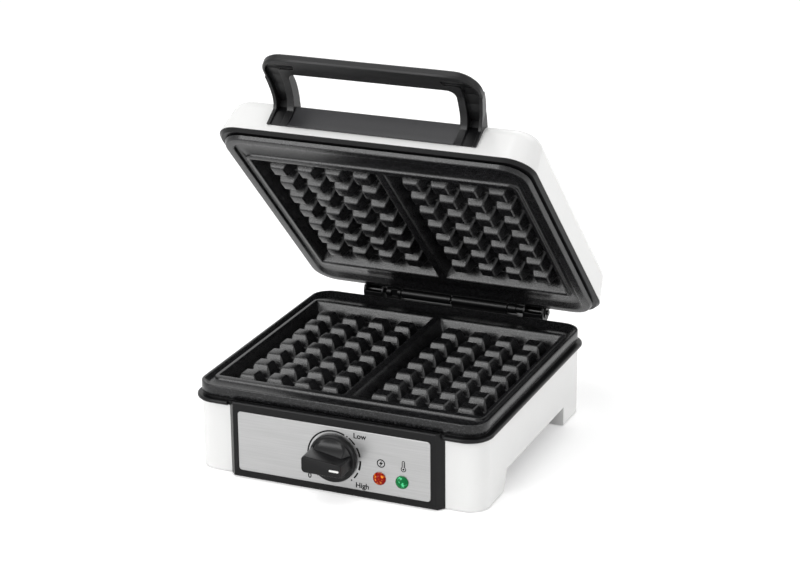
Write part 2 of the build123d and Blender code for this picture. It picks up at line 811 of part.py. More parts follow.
with BuildPart() as upper_rim:
    with BuildSketch(on_lid(base_plane(upper_rim_face))):
        RectangleRounded(
            2 * (upper_rim_half_x - upper_rim_bevel),
            2 * (upper_rim_half_y - upper_rim_bevel),
            shell_corner - upper_rim_bevel,
        )
    with BuildSketch(on_lid(base_plane(shell_bottom))):
        RectangleRounded(2 * upper_rim_half_x, 2 * upper_rim_half_y, shell_corner)
    loft(ruled=True)
    with BuildSketch(on_lid(base_plane(upper_rim_face))):
        RectangleRounded(2 * (neck_half_x + fit), 2 * (neck_half_y + fit), neck_corner + fit)
    extrude(amount=upper_rim_drop, mode=Mode.SUBTRACT)
    with BuildSketch(on_lid(base_plane(neck_top))):
        RectangleRounded(
            2 * (shell_half_x - wall - 2 * fit),
            2 * (shell_half_y - wall - 4 * fit),
            shell_corner - wall - 2 * fit,
        )
        ledge_corner = neck_corner - rim_ring_width
        RectangleRounded(2 * ledge_inner_x, 2 * ledge_inner_y, ledge_corner, mode=Mode.SUBTRACT)
    extrude(amount=lug_thick)
    with BuildSketch(on_lid(base_plane(neck_top))):
        for side in (-1, 1):
            lug_y = side * (ledge_inner_y + lug_end_y) / 2
            with Locations((-plate_screw_x, lug_y), (plate_screw_x, lug_y)):
                Rectangle(lug_width, ledge_inner_y - lug_end_y)
    extrude(amount=lug_thick)
    with BuildSketch(on_lid(base_plane(neck_top))):
        with Locations(*plate_screws):
            Circle(screw_radius + screw_fit)
    extrude(amount=lug_thick, mode=Mode.SUBTRACT)
    for start, end in upper_knuckles:
        with BuildSketch(on_lid(side_plane(start))):
            with Locations((hinge_y, hinge_z)):
                Circle(knuckle_radius)
            with Locations((hinge_y - knuckle_web / 2, knuckle_root)):
                Rectangle(knuckle_web, shell_bottom - hinge_z)
        extrude(amount=end - start)
    for start, end in (arm_span, (-arm_span[1], -arm_span[0])):
        with BuildSketch(on_lid(side_plane(start))):
            with Locations((hinge_y, hinge_z)):
                Circle(arm_radius)
            with Locations((hinge_y - arm_radius / 4, knuckle_root)):
                Rectangle(1.5 * arm_radius, shell_bottom - hinge_z)
            with Locations((shell_half_y, shell_bottom + arm_radius)):
                Rectangle(2 * arm_radius, 2 * arm_radius, mode=Mode.SUBTRACT)
            with Locations((arm_front_y - arm_radius, hinge_z + arm_radius)):
                Rectangle(2 * arm_radius, 2 * arm_radius + closed_gap, mode=Mode.SUBTRACT)
        extrude(amount=end - start)
        with BuildSketch(on_lid(side_plane(start + arm_wall))):
            with Locations((arm_pocket_middle, hinge_z + (arm_pocket_high - arm_pocket_low) / 2)):
                Rectangle(arm_pocket_length, arm_pocket_low + arm_pocket_high)
        extrude(amount=end - start - 2 * arm_wall, mode=Mode.SUBTRACT)
    with BuildSketch(on_lid(side_plane(upper_knuckles[-1][1]))):
        with Locations((hinge_y, hinge_z)):
            Circle(neck_radius)
    extrude(amount=arm_span[0] - upper_knuckles[-1][1])
    with BuildSketch(on_lid(side_plane(-arm_half))):
        with Locations((hinge_y, hinge_z)):
            Circle(pin_radius + running_fit)
    extrude(amount=2 * arm_half, mode=Mode.SUBTRACT)

pin_half = arm_half + pin_overhang
with BuildPart() as hinge_pin:
    with BuildSketch(side_plane(-pin_half)):
        with Locations((hinge_y, hinge_z)):
            Circle(pin_radius)
    extrude(amount=2 * pin_half)

with BuildPart() as hinge_pin_clips:
    for start in (arm_half + running_fit, -arm_half - running_fit - clip_thick):
        with BuildSketch(side_plane(start)):
            with Locations((hinge_y, hinge_z)):
                Circle(clip_radius)
                Circle(pin_radius + running_fit, mode=Mode.SUBTRACT)
            with Locations((hinge_y, hinge_z - clip_radius)):
                Rectangle(pin_radius, 2 * clip_radius, mode=Mode.SUBTRACT)
        extrude(amount=clip_thick)

# Handle: its side view cut to the loop's plan, hollowed along the legs, less the lid's outer form


def from_edge(points):
    """Depths and heights of points counted from the lid's lower front edge."""
    return [(-shell_half_y + inward, shell_bottom + rise) for inward, rise in points]


def on_wall(rise, proud):
    """Depth and height of a point on the lid's front wall, proud of it by some millimetres."""
    return (-shell_half_y + wall_slope * rise - proud, shell_bottom + rise)


shell_clear = shell_form(-running_fit, shell_bottom, shell_top)
plan_plane = on_lid(base_plane(shell_bottom))
handle_foot = from_edge([(foot_inward, foot_rise)])[0]
under_line = from_edge(handle_under)
over_line = from_edge(handle_over)
inner_wall = on_wall(foot_rise, -wall)
handle_tip = under_line[-1][0]
flare_start_y = -shell_half_y + handle_flare_start
flare_end_y = -shell_half_y + handle_flare_end
grip_inner_y = -shell_half_y + grip_inner
channel_start_y = -shell_half_y + channel_start
channel_end_y = -shell_half_y + channel_end
channel_return_y = -shell_half_y + channel_return
channel_inner = finger_half + channel_ridge
loop_rise = 2 * (over_line[0][1] - shell_bottom)

with BuildPart() as leg_channels:
    with BuildSketch(on_lid(side_plane(-handle_half_top))):
        with BuildLine():
            floor = from_edge(channel_floor)
            below = shell_bottom - wall
            Polyline(*floor, (floor[-1][0], below), (floor[0][0], below), close=True)
        make_face()
    extrude(amount=2 * handle_half_top)
    with BuildSketch(plan_plane):
        with BuildLine():
            Polyline(
                (channel_inner, channel_start_y),
                (handle_half_foot - channel_wall, channel_start_y),
                (handle_half_foot - channel_wall, flare_start_y),
                (handle_half_top - channel_wall, flare_end_y),
                (handle_half_top - channel_wall, channel_end_y),
                (channel_reach, channel_end_y),
                (channel_reach, channel_return_y),
                (channel_inner, channel_return_y),
                close=True,
            )
        make_face()
        outer_corner = [v for v in vertices() if v.Y < flare_end_y - 1 and v.X > channel_inner + 1]
        fillet(outer_corner, handle_corner - channel_wall)
        finger_corners = [v for v in vertices() if v.Y < flare_end_y - 1 and v.X < channel_inner + 1]
        fillet([v for v in finger_corners if v.Y > channel_end_y - 1], channel_corner)
        mirror(about=Plane.YZ)
    extrude(amount=loop_rise, both=True, mode=Mode.INTERSECT)

with BuildPart() as handle_loop:
    with BuildSketch(on_lid(side_plane(-handle_half_top))):
        with BuildLine():
            Line(inner_wall, handle_foot)
            Line(handle_foot, under_line[0])
            Spline(*under_line)
            Line(under_line[-1], over_line[0])
            Spline(*over_line)
            Line(over_line[-1], inner_wall)
        make_face()
    extrude(amount=2 * handle_half_top)
    with BuildSketch(plan_plane):
        with BuildLine():
            Polyline(
                (-handle_half_foot, channel_start_y + wall),
                (-handle_half_foot, flare_start_y),
                (-handle_half_top, flare_end_y),
                (-handle_half_top, handle_tip),
                (handle_half_top, handle_tip),
                (handle_half_top, flare_end_y),
                (handle_half_foot, flare_start_y),
                (handle_half_foot, channel_start_y + wall),
                close=True,
            )
        make_face()
        tip_corners = [v for v in vertices() if abs(v.Y - handle_tip) < 1]
        fillet(tip_corners, handle_corner)
        finger_length = channel_start_y - grip_inner_y + 2 * wall
        with Locations((0, grip_inner_y + finger_length / 2)):
            RectangleRounded(2 * finger_half, finger_length, finger_corner, mode=Mode.SUBTRACT)
    extrude(amount=loop_rise, mode=Mode.INTERSECT)
    rim_edges = []
    for edge in edges():
        start, middle, end = (plan_plane.to_local_coords(edge @ share) for share in (0, 0.5, 1))
        if middle.Y < grip_inner_y - 1 and abs(start.Z - end.Z) < handle_edge:
            rim_edges.append(edge)
    chamfer(rim_edges, handle_edge)
    add(leg_channels.part, mode=Mode.SUBTRACT)
    add(shell_clear, mode=Mode.SUBTRACT)
    with BuildSketch(leg_plane(screw_seat)):
        with Locations(*handle_screws_at):
            Circle(screw_radius + screw_fit)
    extrude(amount=handle_screw_length + blind_end, mode=Mode.SUBTRACT)

with BuildPart() as handle_panel:
    with BuildSketch(on_lid(side_plane(-finger_half + fit))):
        with BuildLine():
            ThreePointArc(
                on_wall(foot_rise, panel_proud),
                on_wall((foot_rise + panel_top_rise) / 2, panel_proud - panel_dish),
                on_wall(panel_top_rise, panel_proud + panel_dish),
            )
            Polyline(
                on_wall(panel_top_rise, panel_proud + panel_dish),
                on_wall(panel_top_rise, -wall),
                on_wall(foot_rise, -wall),
                on_wall(foot_rise, panel_proud),
            )
        make_face()
    extrude(amount=2 * (finger_half - fit))
    add(shell_clear, mode=Mode.SUBTRACT)

with BuildPart() as handle_screws:
    with BuildSketch(leg_plane(screw_seat)):
        with Locations(*handle_screws_at):
            Circle(screw_head)
    extrude(amount=-screw_head_height)
    with BuildSketch(leg_plane(screw_seat)):
        with Locations(*handle_screws_at):
            Circle(screw_radius)
    extrude(amount=handle_screw_length)

# Control frame: a tray set on the front wall, open at the back, with a web behind the steel sheet
bezel_top = bezel_bottom + bezel_height
web_back = fascia_face + fascia_thick + bezel_web
with BuildPart() as control_bezel:
    with BuildSketch(base_plane(bezel_bottom)):
        with BuildLine():
            Polyline(
                (-bezel_half_back, -body_half_y),
                (bezel_half_back, -body_half_y),
                (bezel_half_front, bezel_face),
                (-bezel_half_front, bezel_face),
                close=True,
            )
        make_face()
    extrude(amount=bezel_height)
    front_edges = faces().sort_by(Axis.Y)[0].edges()
    fillet(front_edges, bezel_edge)
    with BuildSketch(front_plane(-body_half_y)):
        with Locations((0, (bezel_bottom + body_top) / 2)):
            Rectangle(2 * (fascia_half + bezel_wall), body_top - bezel_bottom - 2 * bezel_wall)
    extrude(amount=-web_back - body_half_y, mode=Mode.SUBTRACT)
    with BuildSketch(front_plane(-body_half_y)):
        with Locations(*(bezel_screws + bracket_screws)):
            Circle(small_head)
    extrude(amount=-web_back - body_half_y)
    with BuildSketch(front_plane(-body_half_y)):
        with Locations(*(bezel_screws + bracket_screws)):
            Circle(small_screw_radius + screw_fit)
    extrude(amount=-web_back - body_half_y, mode=Mode.SUBTRACT)
    with BuildSketch(front_plane(fascia_face + fascia_thick)):
        with Locations((0, fascia_bottom + fascia_height / 2)):
            RectangleRounded(2 * fascia_half + fit, fascia_height + fit, fascia_corner)
    extrude(amount=fascia_thick, mode=Mode.SUBTRACT)
    with BuildSketch(front_plane(-body_half_y)):
        with Locations((knob_x, knob_z)):
            Circle(shaft_radius + fit)
        with Locations(*lamp_points):
            Circle(lamp_neck_radius + running_fit)
    extrude(amount=2 * bezel_depth, mode=Mode.SUBTRACT)
    with BuildSketch(side_plane(-bezel_half_back)):
        with Locations((-body_half_y, body_top - fit + bezel_height / 2)):
            Rectangle(2 * (bezel_wall + fit), bezel_height)
    extrude(amount=2 * bezel_half_back, mode=Mode.SUBTRACT)

with BuildPart() as steel_fascia:
    with BuildSketch(front_plane(fascia_face + fascia_thick)):
        with Locations((0, fascia_bottom + fascia_height / 2)):
            RectangleRounded(2 * fascia_half, fascia_height, fascia_corner)
        with Locations((knob_x, knob_z)):
            Circle(shaft_radius + fit, mode=Mode.SUBTRACT)
        with Locations(*lamp_points):
            Circle(lamp_neck_radius + running_fit, mode=Mode.SUBTRACT)
    extrude(amount=fascia_thick)
    rim_of_face = faces().sort_by(Axis.Y)[0].outer_wire().edges()
    chamfer(rim_of_face, fascia_bevel)


def lamp_lens(x):
    """Domed lens with a collar on the steel sheet and a hollow neck through it."""
    with BuildPart() as lens:
        with BuildSketch(front_plane(fascia_face)):
            with Locations((x, lamp_z)):
                Circle(lamp_radius)
        extrude(amount=lamp_collar + lamp_dome)
        fillet(faces().sort_by(Axis.Y)[0].edges(), lamp_dome)
        with BuildSketch(front_plane(fascia_face)):
            with Locations((x, lamp_z)):
                Circle(lamp_neck_radius)
        extrude(amount=-fascia_thick - 2 * bezel_web)
        with BuildSketch(front_plane(fascia_face + fascia_thick + 2 * bezel_web)):
            with Locations((x, lamp_z)):
                Circle(bulb_radius + running_fit)
        extrude(amount=fascia_thick + 2 * bezel_web, mode=Mode.SUBTRACT)
    return lens


power_lamp_lens = lamp_lens(lamp_x[0])
ready_lamp_lens = lamp_lens(lamp_x[1])

with BuildPart() as lamp_holders:
    with BuildSketch(front_plane(web_back)):
        with Locations(*lamp_points):
            Circle(holder_radius)
    extrude(amount=-holder_length)
    with BuildSketch(front_plane(web_back)):
        with Locations(*lamp_points):
            Circle(lamp_neck_radius + running_fit)
    extrude(amount=-bezel_web - fit, mode=Mode.SUBTRACT)
    with BuildSketch(front_plane(web_back)):
        with Locations(*lamp_points):
            Circle(bulb_radius + running_fit)
    extrude(amount=-bulb_length, mode=Mode.SUBTRACT)

with BuildPart() as lamp_bulbs:
    with BuildSketch(front_plane(web_back + bulb_length)):
        with Locations(*lamp_points):
            Circle(bulb_radius)
    extrude(amount=bulb_length + bezel_web)
    fillet(faces().group_by(Axis.Y)[0].edges(), bulb_radius / 2)

# Thermostat on its bracket behind the front wall, with the shaft through wall, frame and steel sheet
bracket_back = -inner_y + bracket_thick
thermostat_rear = bracket_back + thermostat_depth
nose_front = bracket_back - nose_length

with BuildPart() as thermostat_bracket:
    with BuildSketch(front_plane(bracket_back)):
        with Locations((knob_x, knob_z)):
            RectangleRounded(2 * bracket_half, bracket_height, 2 * wall)
            Circle(nose_radius + screw_fit, mode=Mode.SUBTRACT)
        with Locations(*bracket_screws):
            Circle(small_screw_radius + screw_fit, mode=Mode.SUBTRACT)
    extrude(amount=bracket_thick)

with BuildPart() as thermostat_body:
    with BuildSketch(front_plane(thermostat_rear)):
        with Locations((knob_x, knob_z)):
            RectangleRounded(thermostat_width, thermostat_height, 2 * wall)
    extrude(amount=thermostat_depth)
    with BuildSketch(front_plane(bracket_back)):
        with Locations((knob_x, knob_z)):
            Circle(nose_radius)
    extrude(amount=nose_length)
    with BuildSketch(front_plane(nose_front)):
        with Locations((knob_x, knob_z)):
            Circle(shaft_radius + running_fit)
    extrude(amount=-nose_length - shaft_bite, mode=Mode.SUBTRACT)

with BuildPart() as thermostat_nut:
    with BuildSketch(front_plane(-inner_y)):
        with Locations((knob_x, knob_z)):
            RegularPolygon(nut_flats / 2, 6, major_radius=False)
            Circle(nose_radius + running_fit, mode=Mode.SUBTRACT)
    extrude(amount=nut_thick)

knob_back = fascia_face - knob_gap
knob_front = fascia_face - knob_reach
shaft_front = knob_front + 2 * pointer_depth + bezel_wall
with BuildPart() as thermostat_shaft:
    with BuildSketch(front_plane(bracket_back + shaft_bite - running_fit)):
        with Locations((knob_x, knob_z)):
            Circle(shaft_radius)
    extrude(amount=bracket_back + shaft_bite - running_fit - shaft_front)

# Knob: disc, low dome and the finger bar across them, with the pointer let into the bar's face
pointer_x = knob_x + knob_bar_length / 2 - pointer_end_margin - pointer_length / 2
with BuildPart() as temperature_knob:
    with BuildSketch(front_plane(knob_back)):
        with Locations((knob_x, knob_z)):
            Circle(knob_radius)
    extrude(amount=knob_disc)
    fillet(faces().sort_by(Axis.Y)[0].edges(), knob_gap)
    with BuildSketch(front_plane(knob_back - knob_disc)):
        with Locations((knob_x, knob_z)):
            Circle(knob_dome_radius)
    extrude(amount=knob_dome)
    chamfer(faces().sort_by(Axis.Y)[0].edges(), knob_dome * 0.6)
    with BuildSketch(front_plane(knob_back)):
        with Locations((knob_x, knob_z)):
            RectangleRounded(knob_bar_length, knob_bar_height, knob_bar_height / 5)
    extrude(amount=knob_reach - knob_gap)
    fillet(faces().sort_by(Axis.Y)[0].edges(), knob_gap)
    with BuildSketch(front_plane(knob_front)):
        with Locations((pointer_x, knob_z)):
            SlotOverall(pointer_length, pointer_height)
    extrude(amount=-pointer_depth, mode=Mode.SUBTRACT)
    with BuildSketch(front_plane(knob_back)):
        with Locations((knob_x, knob_z)):
            Circle(shaft_radius + running_fit)
    extrude(amount=knob_back - shaft_front + running_fit, mode=Mode.SUBTRACT)

with BuildPart() as knob_pointer:
    with BuildSketch(front_plane(knob_front + pointer_depth)):
        with Locations((pointer_x, knob_z)):
            SlotOverall(pointer_length - screw_fit, pointer_height - screw_fit)
    extrude(amount=pointer_depth)

with BuildPart() as bezel_screw_set:
    for seat, points in ((-inner_y, bezel_screws), (bracket_back, bracket_screws)):
        with BuildSketch(front_plane(seat + small_head_height)):
            with Locations(*points):
                Circle(small_head)
        extrude(amount=small_head_height)
        with BuildSketch(front_plane(seat)):
            with Locations(*points):
                Circle(small_screw_radius)
        extrude(amount=bezel_screw_length)

# Cord inlet in the rear wall, terminal block on the cover, fuse on the shield, and the leads
with BuildPart() as cord_gland:
    with BuildSketch(front_plane(body_half_y)):
        with Locations((gland_x, gland_z)):
            Circle(gland_flange)
    extrude(amount=-gland_outside)
    fillet(faces().sort_by(Axis.Y)[-1].edges(), rim_edge)
    with BuildSketch(front_plane(body_half_y)):
        with Locations((gland_x, gland_z)):
            Circle(gland_radius)
    extrude(amount=wall + gland_inside)
    with BuildSketch(front_plane(body_half_y + gland_outside)):
        with Locations((gland_x, gland_z)):
            Circle(gland_bore)
    extrude(amount=gland_outside + wall + gland_inside, mode=Mode.SUBTRACT)

way_pitch = block_length / 4
first_way = block_x - way_pitch
last_way = block_x + way_pitch
with BuildPart() as terminal_block:
    with BuildSketch(base_plane(cover_top)):
        with Locations((block_x, block_y)):
            RectangleRounded(block_length, block_width, wall / 2)
    extrude(amount=block_height)
    with BuildSketch(base_plane(cover_top + block_height)):
        for side in (-1, 1):
            way_y = block_y + side * block_width / 4
            with Locations((first_way, way_y), (block_x, way_y), (last_way, way_y)):
                Circle(screw_radius)
    extrude(amount=-block_height / 2, mode=Mode.SUBTRACT)

shield_underside = crest_z - lower_pan_depth - shield_gap - shield_thick
with BuildPart() as thermal_fuse:
    with BuildSketch(front_plane(fuse_length / 2)):
        with Locations((fuse_x, shield_underside - fuse_radius)):
            Circle(fuse_radius)
    extrude(amount=fuse_length)


def lead(place, points):
    """One insulated lead along a run of points, counted on the level plane place, with rounded bends."""
    with BuildPart() as wire:
        with BuildLine(place) as route:
            FilletPolyline(*points, radius=lead_bend)
        with BuildSketch(Plane(origin=route.line @ 0, z_dir=route.line % 0)):
            Circle(lead_radius)
        sweep()
    return wire.part


base_level = base_plane(0)
lid_level = on_lid(base_plane(0))
block_front = block_y - block_width / 2
block_rear = block_y + block_width / 2
lead_z = cover_top + lead_rise
gland_end = body_half_y - wall - gland_inside
gland_lead = gland_bore - 2 * lead_radius
lower_tail_z = crest_z - lower_pan_depth - heater_radius - running_fit
fuse_z = shield_underside - fuse_radius
thermostat_top = knob_z + thermostat_height / 2
tail_turn_y = heater_tail_y - 2 * lead_bend
holder_rear = web_back + holder_length

with BuildPart() as lower_wires:
    # Supply leads from the cord inlet to the terminal block
    add(lead(base_level, [
        (gland_x - gland_lead, gland_end, gland_z),
        (gland_x - gland_lead, block_rear + supply_reach[0], gland_z),
        (first_way, block_rear + supply_reach[0], lead_z),
        (first_way, block_rear, lead_z),
    ]))
    add(lead(base_level, [
        (gland_x + gland_lead, gland_end, gland_z),
        (gland_x + gland_lead, block_rear + supply_reach[1], gland_z),
        (block_x, block_rear + supply_reach[1], lead_z),
        (block_x, block_rear, lead_z),
    ]))
    # Terminal block to thermostat, and thermostat to the heater's first tail
    add(lead(base_level, [
        (first_way, block_front, lead_z),
        (first_way, heater_front_y, lead_z),
        (knob_x - thermostat_lead_x, heater_front_y, lead_z),
        (knob_x - thermostat_lead_x, thermostat_rear, lead_z),
    ]))
    add(lead(base_level, [
        (-heater_tail_x, heater_tail_y, lower_tail_z),
        (-heater_tail_x, tail_turn_y, lower_tail_z),
        (-heater_tail_x + lead_bend, tail_turn_y, thermostat_top),
    ]))
    # Terminal block to fuse, and fuse to the heater's second tail
    add(lead(base_level, [
        (last_way, block_front, lead_z),
        (last_way, block_front - fuse_lead_reach, lead_z),
        (fuse_x, block_front - fuse_lead_reach, fuse_z),
        (fuse_x, fuse_length / 2, fuse_z),
    ]))
    add(lead(base_level, [
        (fuse_x, -fuse_length / 2, fuse_z),
        (fuse_x, heater_front_y, fuse_z),
        (heater_tail_x, heater_front_y - tail_lead_reach, fuse_z),
        (heater_tail_x, tail_turn_y, fuse_z),
        (heater_tail_x, tail_turn_y, lower_tail_z),
        (heater_tail_x, heater_tail_y, lower_tail_z),
    ]))
    # Lamp leads to the thermostat
    for x, turn, way in zip(lamp_x, lamp_lead_turn, lamp_lead_step):
        add(lead(base_level, [
            (x, holder_rear, lamp_z),
            (x, turn, lamp_z),
            (knob_x + way, turn, knob_z + way - thermostat_lead_x),
            (knob_x + way, thermostat_rear, knob_z + way - thermostat_lead_x),
        ]))

upper_tail_z = upper_crest_z + upper_pan_depth + heater_radius + running_fit
upper_lead_z = shell_top - wall - lid_lead_drop
arm_middle = (arm_span[0] + arm_span[1]) / 2
with BuildPart() as upper_wires:
    # From each tail over the shield to the ledge above the hollow hinge arm on that side
    for side in (-1, 1):
        add(lead(lid_level, [
            (side * heater_tail_x, heater_tail_y, upper_tail_z),
            (side * heater_tail_x, tail_turn_y, upper_tail_z),
            (side * heater_tail_x, tail_turn_y, upper_lead_z),
            (side * arm_middle, heater_front_y, upper_lead_z),
            (side * arm_middle, ledge_inner_y + arm_lead_inset, upper_lead_z),
            (side * arm_middle, ledge_inner_y + arm_lead_inset, upper_ledge_top),
        ]))

pieces = {
    "lower_housing": lower_housing,
    "foot_pads": foot_pads,
    "base_cover": base_cover,
    "base_cover_screws": base_cover_screws,
    "lower_rim": lower_rim,
    "lower_grill_plate": lower_grill_plate,
    "lower_heating_element": lower_heating_element,
    "lower_reflector": lower_reflector,
    "lower_plate_screws": lower_plate_screws,
    "upper_housing": upper_housing,
    "upper_rim": upper_rim,
    "upper_grill_plate": upper_grill_plate,
    "upper_heating_element": upper_heating_element,
    "upper_reflector": upper_reflector,
    "upper_plate_screws": upper_plate_screws,
    "hinge_pin": hinge_pin,
    "hinge_pin_clips": hinge_pin_clips,
    "handle_loop": handle_loop,
    "handle_panel": handle_panel,
    "handle_screws": handle_screws,
    "control_bezel": control_bezel,
    "steel_fascia": steel_fascia,
    "power_lamp_lens": power_lamp_lens,
    "ready_lamp_lens": ready_lamp_lens,
    "lamp_holders": lamp_holders,
    "lamp_bulbs": lamp_bulbs,
    "bezel_screws": bezel_screw_set,
    "temperature_knob": temperature_knob,
    "knob_pointer": knob_pointer,
    "thermostat_body": thermostat_body,
    "thermostat_bracket": thermostat_bracket,
    "thermostat_nut": thermostat_nut,
    "thermostat_shaft": thermostat_shaft,
    "cord_gland": cord_gland,
    "terminal_block": terminal_block,
    "thermal_fuse": thermal_fuse,
    "lower_wires": lower_wires,
    "upper_wires": upper_wires,
}

os.makedirs("parts", exist_ok=True)
for name, piece in pieces.items():
    piece.part.label = name
    export_step(piece.part, f"parts/{name}.step")
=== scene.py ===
"""Dresses a Belgian waffle iron: cast plates, knob, lenses, printed marks, finishes and the stage."""
import math
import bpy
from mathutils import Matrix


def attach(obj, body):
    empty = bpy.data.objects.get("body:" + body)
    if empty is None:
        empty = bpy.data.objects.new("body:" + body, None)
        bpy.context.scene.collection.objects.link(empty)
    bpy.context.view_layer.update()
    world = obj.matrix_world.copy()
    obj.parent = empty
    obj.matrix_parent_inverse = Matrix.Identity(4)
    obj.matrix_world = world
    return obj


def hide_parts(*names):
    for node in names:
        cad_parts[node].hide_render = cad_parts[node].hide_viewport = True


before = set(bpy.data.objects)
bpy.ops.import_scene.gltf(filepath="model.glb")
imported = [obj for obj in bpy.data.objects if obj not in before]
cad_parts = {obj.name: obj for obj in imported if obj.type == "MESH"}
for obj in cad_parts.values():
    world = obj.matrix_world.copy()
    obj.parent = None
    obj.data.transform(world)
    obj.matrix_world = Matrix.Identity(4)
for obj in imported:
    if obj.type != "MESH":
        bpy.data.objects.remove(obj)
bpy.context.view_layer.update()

from types import SimpleNamespace

import bmesh
import bpy
import numpy as np
from bpy.props import FloatProperty, FloatVectorProperty, PointerProperty
from mathutils import Matrix, Vector

bl_info = {
    "name": "Belgian Waffle Iron",
    "version": (1, 0, 0),
    "blender": (4, 5, 0),
    "location": "View3D > Sidebar > Waffle Iron",
    "description": "Makes the waffle iron's cast plates, knob, marks, finishes and stage",
    "category": "Object",
}

# Places in the solid model, in millimetres, and the angle at which its lid stands open
PLATES_Y = -2.6
HINGE_Y = 121.4
HINGE_Z = 68.2
LID_ANGLE = math.radians(44.6)
LOWER_CREST_Z = 68.0
UPPER_CREST_Z = 68.5
KNOB_X = 1.0
KNOB_Z = 29.2
PANEL_Y = PLATES_Y - 114.1
LAMP_Z = 18.6
POWER_LAMP_X = 36.7
READY_LAMP_X = 54.2
# The knob stands a little off the panel, and prints stand a little out of its face
KNOB_GAP = 0.6
KNOB_BACK_Y = PANEL_Y - KNOB_GAP
PRINT_BACK_Y = PANEL_Y + 0.02
PRINT_FACE_Y = PANEL_Y - 0.05
WORD_MIDDLE_Y = PANEL_Y - 0.02
WORD_HALF_THICKNESS = 0.04
# Height of a capital as a share of the font's size
CAPITAL_SHARE = 0.72
# The wells' middle, measured from the plates' middle, and the pegs across and along each well
WELLS_Y = -1.0
PEG_COLUMNS = 4
PEG_ROWS = 7


def linear(code):
    """Linear colour and alpha of an sRGB hex value."""
    parts = np.array([int(code[i:i + 2], 16) for i in (1, 3, 5)]) / 255
    dark = parts / 12.92
    light = ((parts + 0.055) / 1.055) ** 2.4
    return (*np.where(parts <= 0.04045, dark, light).tolist(), 1.0)


def length(name, description, millimetres):
    """A length that can be set in the sidebar, kept in metres."""
    return FloatProperty(name=name, description=description, default=millimetres / 1000, unit="LENGTH",
                         subtype="DISTANCE", precision=4)


def tone(name, description, code):
    """A colour that can be set in the sidebar."""
    return FloatVectorProperty(name=name, description=description, default=linear(code), size=4,
                               subtype="COLOR", min=0.0, max=1.0)


class IronSizes(bpy.types.PropertyGroup):
    """Sizes of the pieces that this file makes."""
    well_pitch: length("Well pitch", "Distance between the two wells' middles", 107.0)
    well_width: length("Well width", "Width of a well at its mouth", 101.0)
    well_length: length("Well length", "Length of a well at its mouth", 171.0)
    well_depth: length("Well depth", "Depth of a well below its lip", 11.5)
    draft: length("Draft", "Run of the sloping walls of wells and pegs", 4.0)
    peg_pitch: length("Peg pitch", "Distance from peg to peg", 22.5)
    peg_tip: length("Peg tip", "Width of a peg at its tip", 10.6)
    edge_round: length("Edge rounding", "Height over which cast edges round off", 1.7)
    knob_radius: length("Knob radius", "Radius of the knob's disc", 18.3)
    bar_length: length("Bar length", "Length of the knob's finger bar", 31.0)
    bar_height: length("Bar height", "Width of the knob's finger bar", 9.6)
    bar_taper: length("Bar taper", "How much higher the bar's far end stands", 3.4)
    knob_reach: length("Knob reach", "How far the bar stands out of the panel", 22.65)
    lens_radius: length("Lens radius", "Radius of a lamp's lens", 5.0)
    scale_radius: length("Scale radius", "Radius of the printed scale", 20.8)
    mark_width: length("Mark width", "Width of the printed lines", 1.4)
    letter_height: length("Letter height", "Height of the capitals", 4.1)
    letter_weight: length("Letter weight", "How much the letters' strokes are thickened", 0.14)


class IronColours(bpy.types.PropertyGroup):
    """Colours of the finishes."""
    shell: tone("Shell", "White housings", "#f2f2f1")
    black: tone("Black plastic", "Rims, handle and control frame", "#0f0f10")
    coating: tone("Plate coating", "Non-stick coating", "#0e0e0f")
    fleck: tone("Coating fleck", "Bright flecks in the coating", "#3a3a3c")
    steel: tone("Steel", "Brushed control panel", "#bababa")
    red: tone("Red lens", "Power lamp", "#8f0d04")
    green: tone("Green lens", "Ready lamp", "#046b36")
    mark: tone("Print", "Printed marks", "#0c0c0c")


def sizes():
    """The sizes as they are set in the scene, in millimetres."""
    group = bpy.context.scene.iron_sizes
    return SimpleNamespace(**{name: getattr(group, name) * 1000 for name in group.__annotations__})


def colours():
    """The colours as they are set in the scene."""
    return bpy.context.scene.iron_colours


def to_lid(points):
    """Points of the closed lid, swung open about the hinge: a turn in the side view about its axis."""
    points = np.asarray(points, float)
    y = points[..., 1] - HINGE_Y
    z = points[..., 2] - HINGE_Z
    cosine, sine = math.cos(LID_ANGLE), math.sin(LID_ANGLE)
    return np.stack([points[..., 0], HINGE_Y + y * cosine + z * sine, HINGE_Z - y * sine + z * cosine], -1)


def soft_min(a, b, reach):
    """The smaller of a and b, rounded off by a parabola where they are closer than reach."""
    near = np.maximum(reach - np.abs(a - b), 0)
    return np.minimum(a, b) - near * near / (4 * reach)


def soft_max(a, b, reach):
    """The larger of a and b, rounded off in the same way."""
    return -soft_min(-a, -b, reach)


def grid_quads(rows, columns, wrap=False):
    """Corner numbers of the quads between neighbouring rows and columns of a grid of points."""
    last = columns if wrap else columns - 1
    row, left = np.meshgrid(np.arange(rows - 1), np.arange(last), indexing="ij")
    right = (left + 1) % columns
    near, far = row * columns, (row + 1) * columns
    return np.stack([near + left, near + right, far + right, far + left], -1).reshape(-1, 4)


def placed(name, data):
    """A new object in the scene that carries that data."""
    made = bpy.data.objects.new(name, data)
    bpy.context.scene.collection.objects.link(made)
    return made


